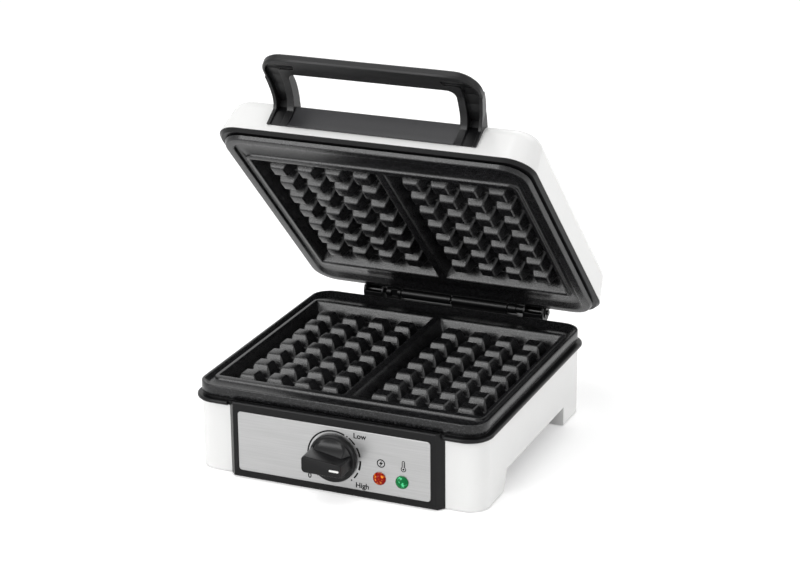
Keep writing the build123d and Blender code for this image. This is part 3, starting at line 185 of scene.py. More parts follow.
def make_piece(name, points, faces, sharp_angle=40.0):
    """A closed mesh from points in millimetres, its faces turned outwards, its edges over the angle sharp."""
    mesh = bpy.data.meshes.new(name)
    mesh.from_pydata((np.asarray(points, float) / 1000).tolist(), [], [list(map(int, f)) for f in faces])
    shape = bmesh.new()
    shape.from_mesh(mesh)
    bmesh.ops.remove_doubles(shape, verts=shape.verts, dist=1e-6)
    bmesh.ops.dissolve_degenerate(shape, edges=shape.edges, dist=1e-7)
    bmesh.ops.recalc_face_normals(shape, faces=shape.faces)
    shape.to_mesh(mesh)
    shape.free()
    mesh.shade_smooth()
    mesh.set_sharp_from_angle(angle=math.radians(sharp_angle))
    return placed(name, mesh)


def ring_stack(rings, cap_start=True, cap_end=True, first=0):
    """Points and faces of a stack of closed rings, each joined to the next, with the end rings capped."""
    rings = np.asarray(rings, float)
    count, around = rings.shape[:2]
    faces = [list(q) for q in grid_quads(count, around, wrap=True) + first]
    if cap_start:
        faces.append(list(range(first + around - 1, first - 1, -1)))
    if cap_end:
        faces.append(list(range(first + (count - 1) * around, first + count * around)))
    return rings.reshape(-1, 3), faces


def joined(shapes):
    """Several shapes' points and faces as one."""
    points, faces, count = [], [], 0
    for shape_points, shape_faces in shapes:
        points.append(shape_points)
        faces += [[i + count for i in face] for face in shape_faces]
        count += len(shape_points)
    return np.concatenate(points), faces


def facing(outline, y):
    """An outline drawn across and up, as points that face the front at that depth."""
    return np.stack([outline[:, 0], np.full(len(outline), y), outline[:, 1]], -1)


def node(material, kind, settings=None, inputs=None, links=None, stops=()):
    """One shader node with its settings, its input values, its links, each a node and an output's name, and
    the places and colours of its colour stops."""
    made = material.node_tree.nodes.new(kind)
    for name, value in (settings or {}).items():
        setattr(made, name, value)
    for name, value in (inputs or {}).items():
        made.inputs[name].default_value = value
    for name, (source, output) in (links or {}).items():
        material.node_tree.links.new(source.outputs[output], made.inputs[name])
    for element, (position, colour) in enumerate(stops):
        made.color_ramp.elements[element].position = position
        made.color_ramp.elements[element].color = colour
    return made


def new_material(name):
    """An empty node material with that name."""
    material = bpy.data.materials.new(name)
    material.use_nodes = True
    material.node_tree.nodes.clear()
    return material


def shades(colour, low, high):
    """A colour made darker and lighter by those factors, as the two ends of a change of tone."""
    base = np.array(colour[:3])
    return (*(base * low), 1.0), (*np.minimum(base * high, 1.0), 1.0)


def moulded(name, colour, roughness, grain_mm, grain, change=0.03, edge_mm=0.5, specular=0.5):
    """A moulded or cast finish: soft edges, a fine skin texture, and a slow change of tone and gloss."""
    material = new_material(name)
    place = node(material, "ShaderNodeTexCoord")
    coordinates = (place, "Object")
    skin = node(material, "ShaderNodeTexNoise", inputs={"Scale": 1000 / grain_mm, "Detail": 3.0},
                links={"Vector": coordinates})
    cloud = node(material, "ShaderNodeTexNoise", inputs={"Scale": 22.0, "Detail": 2.0},
                 links={"Vector": coordinates})
    dark, light = shades(colour, 1 - change, 1 + change)
    tint = node(material, "ShaderNodeValToRGB", links={"Fac": (cloud, "Fac")},
                stops=((0.35, dark), (0.65, light)))
    gloss = node(material, "ShaderNodeMapRange", links={"Value": (cloud, "Fac")},
                 inputs={"To Min": roughness * 0.88, "To Max": roughness * 1.12})
    edge = node(material, "ShaderNodeBevel", {"samples": 4}, {"Radius": edge_mm / 1000})
    bump = node(material, "ShaderNodeBump", inputs={"Strength": grain, "Distance": grain_mm / 4000},
                links={"Height": (skin, "Fac"), "Normal": (edge, "Normal")})
    shader = node(material, "ShaderNodeBsdfPrincipled",
                  inputs={"IOR": 1.5, "Specular IOR Level": specular},
                  links={"Base Color": (tint, "Color"), "Roughness": (gloss, "Result"),
                         "Normal": (bump, "Normal")})
    node(material, "ShaderNodeOutputMaterial", links={"Surface": (shader, "BSDF")})
    return material


def coated_casting():
    """Cast aluminium under a sprayed PTFE coat: near black, with a pebbled skin and fine bright flecks."""
    material = new_material("ptfe_coated_cast_aluminium")
    place = node(material, "ShaderNodeTexCoord")
    coordinates = (place, "Object")
    # The sprayed skin's grain is about 0.4 mm, drawn at 0.7 mm so that it shows in the render
    grit = node(material, "ShaderNodeTexNoise", inputs={"Scale": 1400.0, "Detail": 2.0},
                links={"Vector": coordinates})
    flecks = node(material, "ShaderNodeTexNoise", inputs={"Scale": 900.0, "Detail": 1.0},
                  links={"Vector": coordinates})
    tint = node(material, "ShaderNodeValToRGB", links={"Fac": (flecks, "Fac")},
                stops=((0.5, tuple(colours().coating)), (0.78, tuple(colours().fleck))))
    gloss = node(material, "ShaderNodeMapRange", links={"Value": (grit, "Fac")},
                 inputs={"To Min": 0.2, "To Max": 0.36})
    edge = node(material, "ShaderNodeBevel", {"samples": 4}, {"Radius": 0.0006})
    bump = node(material, "ShaderNodeBump", inputs={"Strength": 0.3, "Distance": 0.0002},
                links={"Height": (grit, "Fac"), "Normal": (edge, "Normal")})
    shader = node(material, "ShaderNodeBsdfPrincipled", inputs={"IOR": 1.5, "Specular IOR Level": 0.42},
                  links={"Base Color": (tint, "Color"), "Roughness": (gloss, "Result"),
                         "Normal": (bump, "Normal")})
    node(material, "ShaderNodeOutputMaterial", links={"Surface": (shader, "BSDF")})
    return material


def metal(name, colour, roughness, streak=(1, 1, 1), streak_mm=0.7, depth=0.1):
    """A bare metal with brushed lines: noise stretched along the brushing, in tone, gloss and bump."""
    material = new_material(name)
    place = node(material, "ShaderNodeTexCoord")
    stretch = node(material, "ShaderNodeMapping", inputs={"Scale": streak},
                   links={"Vector": (place, "Object")})
    lines = node(material, "ShaderNodeTexNoise", inputs={"Scale": 1000 / streak_mm, "Detail": 4.0},
                 links={"Vector": (stretch, "Vector")})
    dark, light = shades(colour, 0.92, 1.05)
    tint = node(material, "ShaderNodeValToRGB", links={"Fac": (lines, "Fac")},
                stops=((0.3, dark), (0.7, light)))
    gloss = node(material, "ShaderNodeMapRange", links={"Value": (lines, "Fac")},
                 inputs={"To Min": roughness * 0.8, "To Max": roughness * 1.2})
    bump = node(material, "ShaderNodeBump", inputs={"Strength": depth, "Distance": 0.0001},
                links={"Height": (lines, "Fac")})
    shader = node(material, "ShaderNodeBsdfPrincipled", inputs={"Metallic": 1.0},
                  links={"Base Color": (tint, "Color"), "Roughness": (gloss, "Result"),
                         "Normal": (bump, "Normal")})
    node(material, "ShaderNodeOutputMaterial", links={"Surface": (shader, "BSDF")})
    return material


def lamp_plastic(name, colour, glow):
    """Tinted clear polycarbonate: deep colour and glossy, with painted highlights: lighter spots mixed into
    its colour, which it also gives off as a faint glow.
    """
    material = new_material(name)
    place = node(material, "ShaderNodeTexCoord")
    # Painted highlights: spots of the glow colour stand for light gathering in the facets, and the mix is
    # also emitted faintly
    painted_glint_spots = node(material, "ShaderNodeTexNoise", inputs={"Scale": 420.0, "Detail": 1.0},
                 links={"Vector": (place, "Object")})
    tint = node(material, "ShaderNodeValToRGB", links={"Fac": (painted_glint_spots, "Fac")},
                stops=((0.54, tuple(colour)), (0.72, glow)))
    shader = node(material, "ShaderNodeBsdfPrincipled",
                  inputs={"Roughness": 0.12, "IOR": 1.58, "Specular IOR Level": 0.1,
                          "Emission Strength": 0.1},
                  links={"Base Color": (tint, "Color"), "Emission Color": (tint, "Color")})
    node(material, "ShaderNodeOutputMaterial", links={"Surface": (shader, "BSDF")})
    return material


def finish_cad(material, *names):
    """Gives CAD nodes a finish in place of the one they came with."""
    for name in names:
        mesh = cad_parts[name].data
        mesh.materials.clear()
        mesh.materials.append(material)


def dress(piece, material, body, slot, *replaced):
    """Gives a new piece its finish, its body and the nodes that it stands for."""
    piece.data.materials.append(material)
    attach(piece, body)
    if replaced:
        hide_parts(*replaced)


def line_set(breaks, spread=(-0.8, -0.4, 0.0, 0.4, 0.8)):
    """Grid lines close together around each break of a profile."""
    return np.unique(np.round(np.add.outer(np.asarray(breaks, float), spread).ravel(), 3))


def well_depths(x, y, lip, tip):
    """Depth below the crest. A well is the least of two ramps from its walls and its floor, and a peg the
    least of four ramps and its tip; both are rounded where they meet."""
    s = sizes()
    sideways = np.abs(x) - s.well_pitch / 2
    soft = s.edge_round
    slope = s.well_depth / s.draft
    walls = soft_min((s.well_width / 2 - np.abs(sideways)) * slope,
                     (s.well_length / 2 - np.abs(y)) * slope, soft)
    sink = soft_max(soft_min(walls, s.well_depth, soft), 0, soft)
    rise = lip + s.well_depth - tip
    column = np.clip(np.floor(sideways / s.peg_pitch), -PEG_COLUMNS // 2, PEG_COLUMNS // 2 - 1) + 0.5
    row = np.clip(np.round(y / s.peg_pitch), -(PEG_ROWS // 2), PEG_ROWS // 2)
    across = np.abs(sideways - column * s.peg_pitch)
    along = np.abs(y - row * s.peg_pitch)
    half_root = s.peg_tip / 2 + s.draft
    peg_slope = rise / s.draft
    sides = soft_min((half_root - across) * peg_slope, (half_root - along) * peg_slope, soft)
    peg = soft_max(soft_min(sides, rise, soft), 0, soft)
    return lip + sink - peg


def plate_lines():
    """Grid lines across and along the wells, at each wall, root and tip."""
    s = sizes()
    edges = [-s.well_width / 2, -s.well_width / 2 + s.draft, s.well_width / 2 - s.draft, s.well_width / 2]
    half_tip, half_root = s.peg_tip / 2, s.peg_tip / 2 + s.draft
    for middle in (np.arange(PEG_COLUMNS) - (PEG_COLUMNS - 1) / 2) * s.peg_pitch:
        edges += [middle - half_root, middle - half_tip, middle + half_tip, middle + half_root]
    across = np.concatenate([np.array(edges) - s.well_pitch / 2, np.array(edges) + s.well_pitch / 2])
    half = s.well_length / 2
    rows = [-half, -half + s.draft, half - s.draft, half]
    for middle in (np.arange(PEG_ROWS) - PEG_ROWS // 2) * s.peg_pitch:
        rows += [middle - half_root, middle - half_tip, middle + half_tip, middle + half_root]
    return line_set(across), line_set(rows)


def border_nodes(xs, ys, fan=7):
    """Walks round the well field's border: each node's share of the straight sides and its outward direction,
    with a fan of directions at each corner."""
    half_x, half_y = xs[-1], ys[-1]
    turn = np.linspace(0, np.pi / 2, fan + 2)[1:-1]
    sin, cos = np.sin(turn), np.cos(turn)
    one = np.ones_like
    sides = [
        (xs / half_x, -one(xs), 0 * xs, -one(xs)), (one(turn), -one(turn), sin, -cos),
        (one(ys), ys / half_y, one(ys), 0 * ys), (one(turn), one(turn), cos, sin),
        (xs[::-1] / half_x, one(xs), 0 * xs, one(xs)), (-one(turn), one(turn), -sin, cos),
        (-one(ys), ys[::-1] / half_y, -one(ys), 0 * ys), (-one(turn), -one(turn), -cos, -sin),
    ]
    return [np.concatenate([side[i] for side in sides]) for i in range(4)]


def plate_piece(name, rings, lip, tip, place):
    """A casting: the well field as a depth over a grid, then rounded rectangles carried outwards from its
    border over bead, field, crest and wall, and under to the pan's back. A ring is its half width, half
    depth, middle, corner radius and depth behind the crest. place turns x, y and depth into the frame."""
    xs, ys = plate_lines()
    grid_x, grid_y = np.meshgrid(xs, ys)
    depths = well_depths(grid_x, grid_y, lip, tip)
    field = place(grid_x, grid_y + WELLS_Y, depths).reshape(-1, 3)
    cx, cy, dx, dy = border_nodes(xs, ys)
    stack = [place(cx * xs[-1], WELLS_Y + cy * ys[-1], np.full_like(cx, lip))]
    for half_x, half_y, middle_y, radius, depth in rings:
        x = cx * (half_x - radius) + dx * radius
        y = middle_y + cy * (half_y - radius) + dy * radius
        stack.append(place(x, y, np.full_like(x, depth)))
    band, faces = ring_stack(stack, cap_start=False, first=len(field))
    points = np.concatenate([field, band])
    # Each quad of the field is cut along the diagonal that keeps closer to the surface
    quads = grid_quads(len(ys), len(xs))
    middle_x = (grid_x[:-1, :-1] + grid_x[1:, 1:]) / 2
    middle_y = (grid_y[:-1, :-1] + grid_y[1:, 1:]) / 2
    surface = well_depths(middle_x, middle_y, lip, tip)
    rising = np.abs((depths[:-1, :-1] + depths[1:, 1:]) / 2 - surface).ravel()
    falling = np.abs((depths[:-1, 1:] + depths[1:, :-1]) / 2 - surface).ravel()
    up = (rising <= falling)[:, None]
    a, b, c, d = quads.T[:, :, None]
    first = np.where(up, np.hstack([a, b, c]), np.hstack([a, b, d]))
    second = np.where(up, np.hstack([a, c, d]), np.hstack([b, c, d]))
    faces = faces + first.tolist() + second.tolist()
    return make_piece(name, points, faces, 60.0)


class WAFFLE_OT_lower_plate(bpy.types.Operator):
    """Makes the lower grill plate"""
    bl_idname = "waffle.lower_plate"
    bl_label = "Lower Plate"

    def execute(self, context):
        # From the bead outwards over field, crest and wall, and under to the pan's back
        rings = [
            (106.7, 90.5, -1.0, 5.5, 1.0), (107.0, 90.8, -1.0, 5.8, 1.12), (107.15, 90.95, -1.0, 5.95, 1.5),
            (107.2, 91.2, -1.0, 6.2, 2.6), (107.3, 91.8, -1.0, 6.8, 3.0), (107.4, 102.2, -2.5, 12.2, 3.0),
            (107.9, 102.9, -2.4, 12.4, 2.75), (110.8, 106.6, -0.2, 13.2, 0.35),
            (111.3, 107.2, 0.0, 13.4, 0.08), (111.8, 107.7, 0.0, 13.9, 0.0), (112.4, 108.3, 0.0, 14.5, 0.0),
            (112.9, 108.8, 0.0, 15.0, 0.14), (113.1, 109.0, 0.0, 15.2, 0.6), (113.1, 109.0, 0.0, 15.2, 7.5),
            (112.8, 108.7, 0.0, 14.9, 7.9), (109.0, 105.0, 0.0, 11.1, 7.9), (107.2, 91.0, -1.0, 6.0, 7.95),
            (107.2, 91.0, -1.0, 6.0, 15.5),
        ]

        def place(x, y, depth):
            return np.stack([x, PLATES_Y + y, LOWER_CREST_Z - depth], -1)

        piece = plate_piece("lower_plate_casting", rings, lip=1.0, tip=2.7, place=place)
        dress(piece, coated_casting(), "base", "coated_cast_aluminium", "lower_grill_plate")
        return {"FINISHED"}


class WAFFLE_OT_upper_plate(bpy.types.Operator):
    """Makes the upper grill plate"""
    bl_idname = "waffle.upper_plate"
    bl_label = "Upper Plate"

    def execute(self, context):
        # From the bead outwards over field, crest and wall, and under to the pan's back
        rings = [
            (106.7, 90.5, -1.0, 5.5, 0.0), (107.0, 90.8, -1.0, 5.8, 0.12), (107.15, 90.95, -1.0, 5.95, 0.5),
            (107.2, 91.2, -1.0, 6.2, 1.6), (107.5, 91.8, -1.0, 6.8, 2.0), (111.0, 106.5, -3.0, 10.4, 2.0),
            (111.5, 107.3, -2.9, 10.8, 1.8), (112.0, 110.4, -0.1, 11.6, 0.3),
            (112.4, 110.9, 0.0, 11.9, 0.06), (112.9, 111.4, 0.0, 12.4, 0.0), (117.8, 116.3, 0.0, 17.3, 0.0),
            (118.35, 116.85, 0.0, 17.85, 0.14), (118.6, 117.1, 0.0, 18.1, 0.6),
            (119.9, 118.4, 0.0, 19.4, 3.0), (119.7, 118.2, 0.0, 19.2, 3.3), (116.5, 115.0, 0.0, 16.0, 3.3),
            (116.5, 115.0, 0.0, 16.0, 6.0), (107.2, 91.0, -1.0, 6.0, 6.2), (107.2, 91.0, -1.0, 6.0, 14.5),
        ]

        def place(x, y, depth):
            return to_lid(np.stack([x, PLATES_Y + y, UPPER_CREST_Z + depth], -1))

        piece = plate_piece("upper_plate_casting", rings, lip=0.0, tip=1.0, place=place)
        dress(piece, coated_casting(), "lid", "coated_cast_aluminium", "upper_grill_plate")
        return {"FINISHED"}


def knob_surface():
    """The knob's disc with its finger scoops, as a height over a polar grid: the scoops fall away in a curve
    from the bar, and the rim's rounding cuts them off."""
    s = sizes()
    # Heights over the knob's back, widths in from its rim, and how the rim and the dome bend and rise
    scoop_foot = 3.6
    scoop_rise = 8.6
    rim_height = 3.9
    rim_width = 1.2
    rim_curve = 1.2
    dome_inset = 2.6
    dome_slope = 2.2
    radii = np.concatenate([[0.6], np.linspace(2, s.knob_radius - rim_width, 26),
                            s.knob_radius - np.array([0.8, 0.45, 0.2, 0.06, 0.0])])
    turn = np.linspace(0, 2 * np.pi, 120, endpoint=False)
    radius, angle = np.meshgrid(radii, turn, indexing="ij")
    x, z = radius * np.cos(angle), radius * np.sin(angle)
    away = np.maximum(np.abs(z) - s.bar_height / 2, 0) / (s.knob_radius - s.bar_height / 2)
    scoop = scoop_foot + scoop_rise * (1 - np.minimum(away, 1)) ** 2.6
    rim = rim_height - rim_curve * np.maximum(radius - s.knob_radius + rim_width, 0) ** 2
    dome = rim + np.maximum(s.knob_radius - dome_inset - radius, 0) * dome_slope
    height = soft_min(scoop, dome, 0.8)
    front = np.stack([KNOB_X + x, KNOB_BACK_Y - height, KNOB_Z + z], -1)
    back = front[-1].copy()
    back[:, 1] = KNOB_BACK_Y
    return ring_stack(np.concatenate([front, back[None]]))


def bar_surface():
    """The finger bar: rounded rectangles stacked towards the front, a little drawn in, with a rounded front
    edge. Their upper side rises in a straight line towards the far end."""
    s = sizes()
    # Height of each outline over the knob's back, and how far it is drawn in
    levels = np.array([1.0, 5.0, 12.0, 20.6, 21.4, 21.9, 22.2, s.knob_reach - KNOB_GAP])
    inset = np.array([-0.5, -0.35, -0.1, 0.05, 0.1, 0.22, 0.45, 0.8])
    turn = np.linspace(0, np.pi / 2, 7)
    rings = []
    for level, draw in zip(levels, inset):
        half_x, half_z = s.bar_length / 2 - draw, s.bar_height / 2 - draw
        left, right = min(2.8, half_z), min(1.2, half_z)
        corners = ((1, 1, right), (-1, 1, left), (-1, -1, left), (1, -1, right))
        parts = []
        for quarter, (side_x, side_z, radius) in enumerate(corners):
            angle = turn + quarter * np.pi / 2
            parts.append(np.stack([side_x * (half_x - radius) + radius * np.cos(angle),
                                   side_z * (half_z - radius) + radius * np.sin(angle)], -1))
        outline = np.concatenate(parts)
        outline[:, 1] += np.where(outline[:, 1] > 0, s.bar_taper * (0.5 - outline[:, 0] / s.bar_length), 0)
        rings.append(facing(outline + (KNOB_X, KNOB_Z), KNOB_BACK_Y - level))
    return ring_stack(rings)


class WAFFLE_OT_knob(bpy.types.Operator):
    """Makes the temperature knob"""
    bl_idname = "waffle.knob"
    bl_label = "Knob"

    def execute(self, context):
        points, faces = joined([knob_surface(), bar_surface()])
        piece = make_piece("knob_body", points, faces, 50.0)
        finish = moulded("satin_black_abs_knob", linear("#0f0f10"), 0.3, 0.5, 0.04,
                         edge_mm=0.3, specular=0.25)
        dress(piece, finish, "knob", "knob_plastic", "temperature_knob")
        return {"FINISHED"}


class WAFFLE_OT_lenses(bpy.types.Operator):
    """Makes the faceted lamp lenses"""
    bl_idname = "waffle.lenses"
    bl_label = "Lenses"

    def execute(self, context):
        radius = sizes().lens_radius
        # Each ring of facet corners: its share of the lens radius and its height over the panel
        shares = np.array([0.16, 0.42, 0.68, 0.9, 1.0, 1.0])
        heights = np.array([3.1, 2.9, 2.3, 1.35, 0.6, 0.0])
        count = 14
        red, green = colours().red, colours().green
        lenses = (
            # Each lens's second colour is its painted highlight, mixed into it in spots and given off faintly
            ("power_lens_facets", POWER_LAMP_X, red, linear("#ff9a30"), "red_lens", "power_lamp_lens"),
            ("ready_lens_facets", READY_LAMP_X, green, linear("#5fe8a0"), "green_lens", "ready_lamp_lens"),
        )
        for name, x, colour, glow, slot, replaced in lenses:
            turn = np.linspace(0, 2 * np.pi, count, endpoint=False)
            rings = []
            for i, (share, height) in enumerate(zip(shares, heights)):
                angle = turn + (i % 2) * np.pi / count
                outline = np.stack([share * radius * np.cos(angle), share * radius * np.sin(angle)], -1)
                rings.append(facing(outline + (x, LAMP_Z), PANEL_Y - height))
            points, faces = ring_stack(rings)
            piece = make_piece(name, points, faces, 4.0)
            finish = lamp_plastic("tinted_polycarbonate_" + name.split("_")[0], colour, glow)
            dress(piece, finish, "base", slot, replaced)
        return {"FINISHED"}


def printed(name):
    """Black screen print: matt, a little uneven where the ink is thin."""
    return moulded(name, colours().mark, 0.6, 0.4, 0.05, edge_mm=0.02, specular=0.15)


def ribbon(path, width, closed=False):
    """A printed line: a thin plate on the panel's face, half the width to each side of the path."""
    path = np.asarray(path, float)
    if closed:
        ahead, behind = np.roll(path, -1, 0), np.roll(path, 1, 0)
        run = ahead - behind
    else:
        run = np.gradient(path, axis=0)
    run = run / np.linalg.norm(run, axis=1)[:, None]
    side = np.stack([-run[:, 1], run[:, 0]], -1) * width / 2
    left, right = path + side, path - side
    corners = [(left, PRINT_BACK_Y), (left, PRINT_FACE_Y), (right, PRINT_FACE_Y), (right, PRINT_BACK_Y)]
    section = np.stack([facing(edge, y) for edge, y in corners], 1)
    if closed:
        section = np.concatenate([section, section[:1]])
    return ring_stack(section, not closed, not closed)


def flat_shape(outline):
    """A printed patch: a closed outline as a thin plate on the panel's face."""
    outline = np.asarray(outline, float)
    return ring_stack([facing(outline, y) for y in (PRINT_BACK_Y, PRINT_FACE_Y)])


def arc(middle, radius, start, end, steps):
    """Points of an arc, its angles in degrees from the right."""
    angle = np.radians(np.linspace(start, end, steps))
    return np.stack([middle[0] + radius * np.cos(angle), middle[1] + radius * np.sin(angle)], -1)


class WAFFLE_OT_marks(bpy.types.Operator):
    """Makes the printed scale, words and signs"""
    bl_idname = "waffle.marks"
    bl_label = "Printed Marks"

    def execute(self, context):
        s = sizes()
        middle = (KNOB_X, KNOB_Z)
        ring = s.scale_radius
        # The scale: one long line, then four dashes of growing and falling width between two dots
        shapes = [ribbon(arc(middle, ring - 0.3, 232, 65, 90), s.mark_width * 0.85)]
        dashes = ((54.6, 36.9, 0.85), (29.8, 9.2, 1.0), (1.8, -19.1, 1.05), (-25.8, -40.9, 0.85))
        for start, end, share in dashes:
            shapes.append(ribbon(arc(middle, ring, start, end, 14), s.mark_width * share))
        for angle in (59.4, -48.6):
            dot = arc(middle, ring, angle, angle, 1)[0]
            shapes.append(flat_shape(arc(dot, 0.62, 0, 342, 20)))
        piece = make_piece("dial_scale_print", *joined(shapes))
        ink = printed("black_screen_print")
        dress(piece, ink, "base", "brushed_steel")
        # The power lamp's sign: a flash in a ring
        flash = np.array([(0.7, 2.3), (-1.7, -0.5), (-0.3, -0.5), (-0.8, -2.4), (1.7, 0.6), (0.3, 0.6)])
        flash_middle = np.array([38.0, 30.6])
        circle = ribbon(arc(flash_middle, 2.85, 0, 351, 40), 0.8, closed=True)
        signs = [circle, flat_shape(flash + flash_middle)]
        # The ready lamp's sign: a thermometer with its tube and bulb, the filled bulb and four marks
        gauge = np.array([55.4, 31.4])
        top = gauge + (0, 2.7)
        bulb = gauge + (0, -2.6)
        stem = np.concatenate([arc(top, 0.95, 0, 180, 12), arc(bulb, 1.75, 123, 417, 30)])
        signs.append(ribbon(stem, 0.6, closed=True))
        signs.append(flat_shape(arc(bulb, 0.75, 0, 345, 24)))
        for level in (-0.9, 0.1, 1.1, 2.1):
            signs.append(ribbon([gauge + (-0.2, level), gauge + (0.75, level)], 0.28))
        dress(make_piece("lamp_signs_print", *joined(signs)), ink, "base", "brushed_steel")
        words = (
            ("word_low_print", "Low", 16.5, 46.9),
            ("word_high_print", "High", 17.8, 8.6),
            ("zero_print", "0", -19.9, 9.9),
        )
        for name, word, x, z in words:
            text = bpy.data.curves.new(name, "FONT")
            text.body = word
            text.size = s.letter_height / CAPITAL_SHARE / 1000
            text.extrude = WORD_HALF_THICKNESS / 1000
            text.offset = s.letter_weight / 1000
            holder = placed(name, text)
            bpy.context.view_layer.update()
            graph = bpy.context.evaluated_depsgraph_get()
            mesh = bpy.data.meshes.new_from_object(holder.evaluated_get(graph))
            bpy.data.objects.remove(holder)
            mesh.name = name
            mesh.transform(Matrix.Rotation(math.radians(90), 4, "X"))
            mesh.transform(Matrix.Translation((x / 1000, WORD_MIDDLE_Y / 1000, z / 1000)))
            mesh.materials.clear()
            dress(placed(name, mesh), ink, "base", "brushed_steel")
        return {"FINISHED"}


class WAFFLE_OT_finishes(bpy.types.Operator):
    """Gives the solid model's nodes their finishes"""
    bl_idname = "waffle.finishes"
    bl_label = "Finishes"

    def execute(self, context):
        # Plastics, after the colour: roughness, grain in mm, its strength, tone, edge in mm and specular
        # Gloss ABS, moulded: white with broad soft reflections and a faint waviness
        white = moulded("gloss_white_abs", colours().shell, 0.2, 9.0, 0.02, 0.006, 0.9, 0.4)
        finish_cad(white, "lower_housing", "upper_housing")
        # Satin ABS, moulded in an etched tool: black with thin bright edges
        black = moulded("satin_black_abs", colours().black, 0.3, 0.5, 0.06, 0.05, 0.7, 0.22)
        finish_cad(black, "lower_rim", "upper_rim", "control_bezel")
        # The handle's plastic is a little rougher, so its upper band catches the light
        satin = moulded("satin_black_abs_handle", linear("#111112"), 0.34, 0.5, 0.08, 0.05, 0.9, 0.3)
        finish_cad(satin, "handle_loop")
        # The same black plastic with a coarser grain; its colour is a lighter grey, a painted sheen that
        # stands for the light it catches
        grained = moulded("grained_black_abs_painted_sheen", linear("#2b2b2d"), 0.4, 0.7, 0.2, 0.08, 0.5, 0.45)
        finish_cad(grained, "handle_panel")
        # Glass-filled nylon: matt black with a pale fibre bloom
        nylon = moulded("glass_filled_nylon", linear("#1f1f20"), 0.6, 0.8, 0.2, 0.06, 0.3)
        finish_cad(nylon, "base_cover", "cord_gland", "lamp_holders")
        # Moulded rubber: dull black, no reflections
        finish_cad(moulded("foot_rubber", linear("#161616"), 0.75, 0.6, 0.2, 0.05, 0.3), "foot_pads")
        # Paint filled into the knob's groove: plain white
        fill = moulded("white_pointer_fill", linear("#f4f4f2"), 0.35, 0.5, 0.04, 0.01, 0.2)
        finish_cad(fill, "knob_pointer")
        # Pressed ceramic: dull cream with a dry grain
        steatite = moulded("steatite", linear("#d8d4c6"), 0.55, 0.8, 0.12, 0.03, 0.3)
        finish_cad(steatite, "thermostat_body", "terminal_block", "thermal_fuse")
        # Silicone sleeving: soft off-white
        sleeve = moulded("silicone_sleeving", linear("#c9c7bd"), 0.5, 0.6, 0.05, 0.03, 0.2)
        finish_cad(sleeve, "lower_wires", "upper_wires")
        # Neon bulbs: glossy glass with the gas's orange tint
        finish_cad(moulded("neon_bulb_glass", linear("#e0a07a"), 0.08, 2.0, 0.01, 0.02, 0.2), "lamp_bulbs")
        # Metals, after the colour: roughness, stretch of the lines, their width in mm and depth
        # Brushed stainless steel: fine lines across the panel, drawn at 0.7 mm so that they show
        steel = metal("brushed_stainless_steel", colours().steel, 0.34, (0.02, 1, 1), 0.7, 0.12)
        finish_cad(steel, "steel_fascia")
        # Blackened steel: dark, with lines along the pin
        finish_cad(metal("black_oxide_steel", linear("#3a3a3a"), 0.35, (0.05, 1, 1)),
                   "hinge_pin", "hinge_pin_clips", "thermostat_shaft")
        # Zinc plating: silvery, slightly yellow, evenly dulled
        finish_cad(metal("zinc_plated_steel", linear("#b5b4ac"), 0.35),
                   "base_cover_screws", "lower_plate_screws", "upper_plate_screws", "handle_screws",
                   "bezel_screws", "thermostat_nut")
        # Aluminised sheet: pale grey with rolling lines
        finish_cad(metal("aluminised_sheet", linear("#bdbdbb"), 0.4, (0.1, 1, 1)),
                   "lower_reflector", "upper_reflector", "thermostat_bracket")
        # Heater sheath: steel browned by heat
        finish_cad(metal("oxidised_heater_sheath", linear("#6f6a64"), 0.5),
                   "lower_heating_element", "upper_heating_element")
        return {"FINISHED"}


def soft_light(name, place, aim, width, height, power):
    """An area light turned towards a point, its width and height in metres and its power in watts."""
    light = bpy.data.lights.new(name, "AREA")
    light.shape = "RECTANGLE"
    light.size = width
    light.size_y = height
    light.energy = power
    holder = placed(name, light)
    holder.location = place
    holder.rotation_mode = "QUATERNION"
    holder.rotation_quaternion = (Vector(aim) - Vector(place)).to_track_quat("-Z", "Y")


def seen_directly(target):
    """A node that is 1 where the camera sees the surface, in a reflection or through glass too, else 0."""
    ray = node(target, "ShaderNodeLightPath")
    plain = node(target, "ShaderNodeMath", {"operation": "MAXIMUM"},
                 links={0: (ray, "Is Camera Ray"), 1: (ray, "Is Glossy Ray")})
    return node(target, "ShaderNodeMath", {"operation": "MAXIMUM"},
                links={0: (plain, "Value"), 1: (ray, "Is Transmission Ray")})


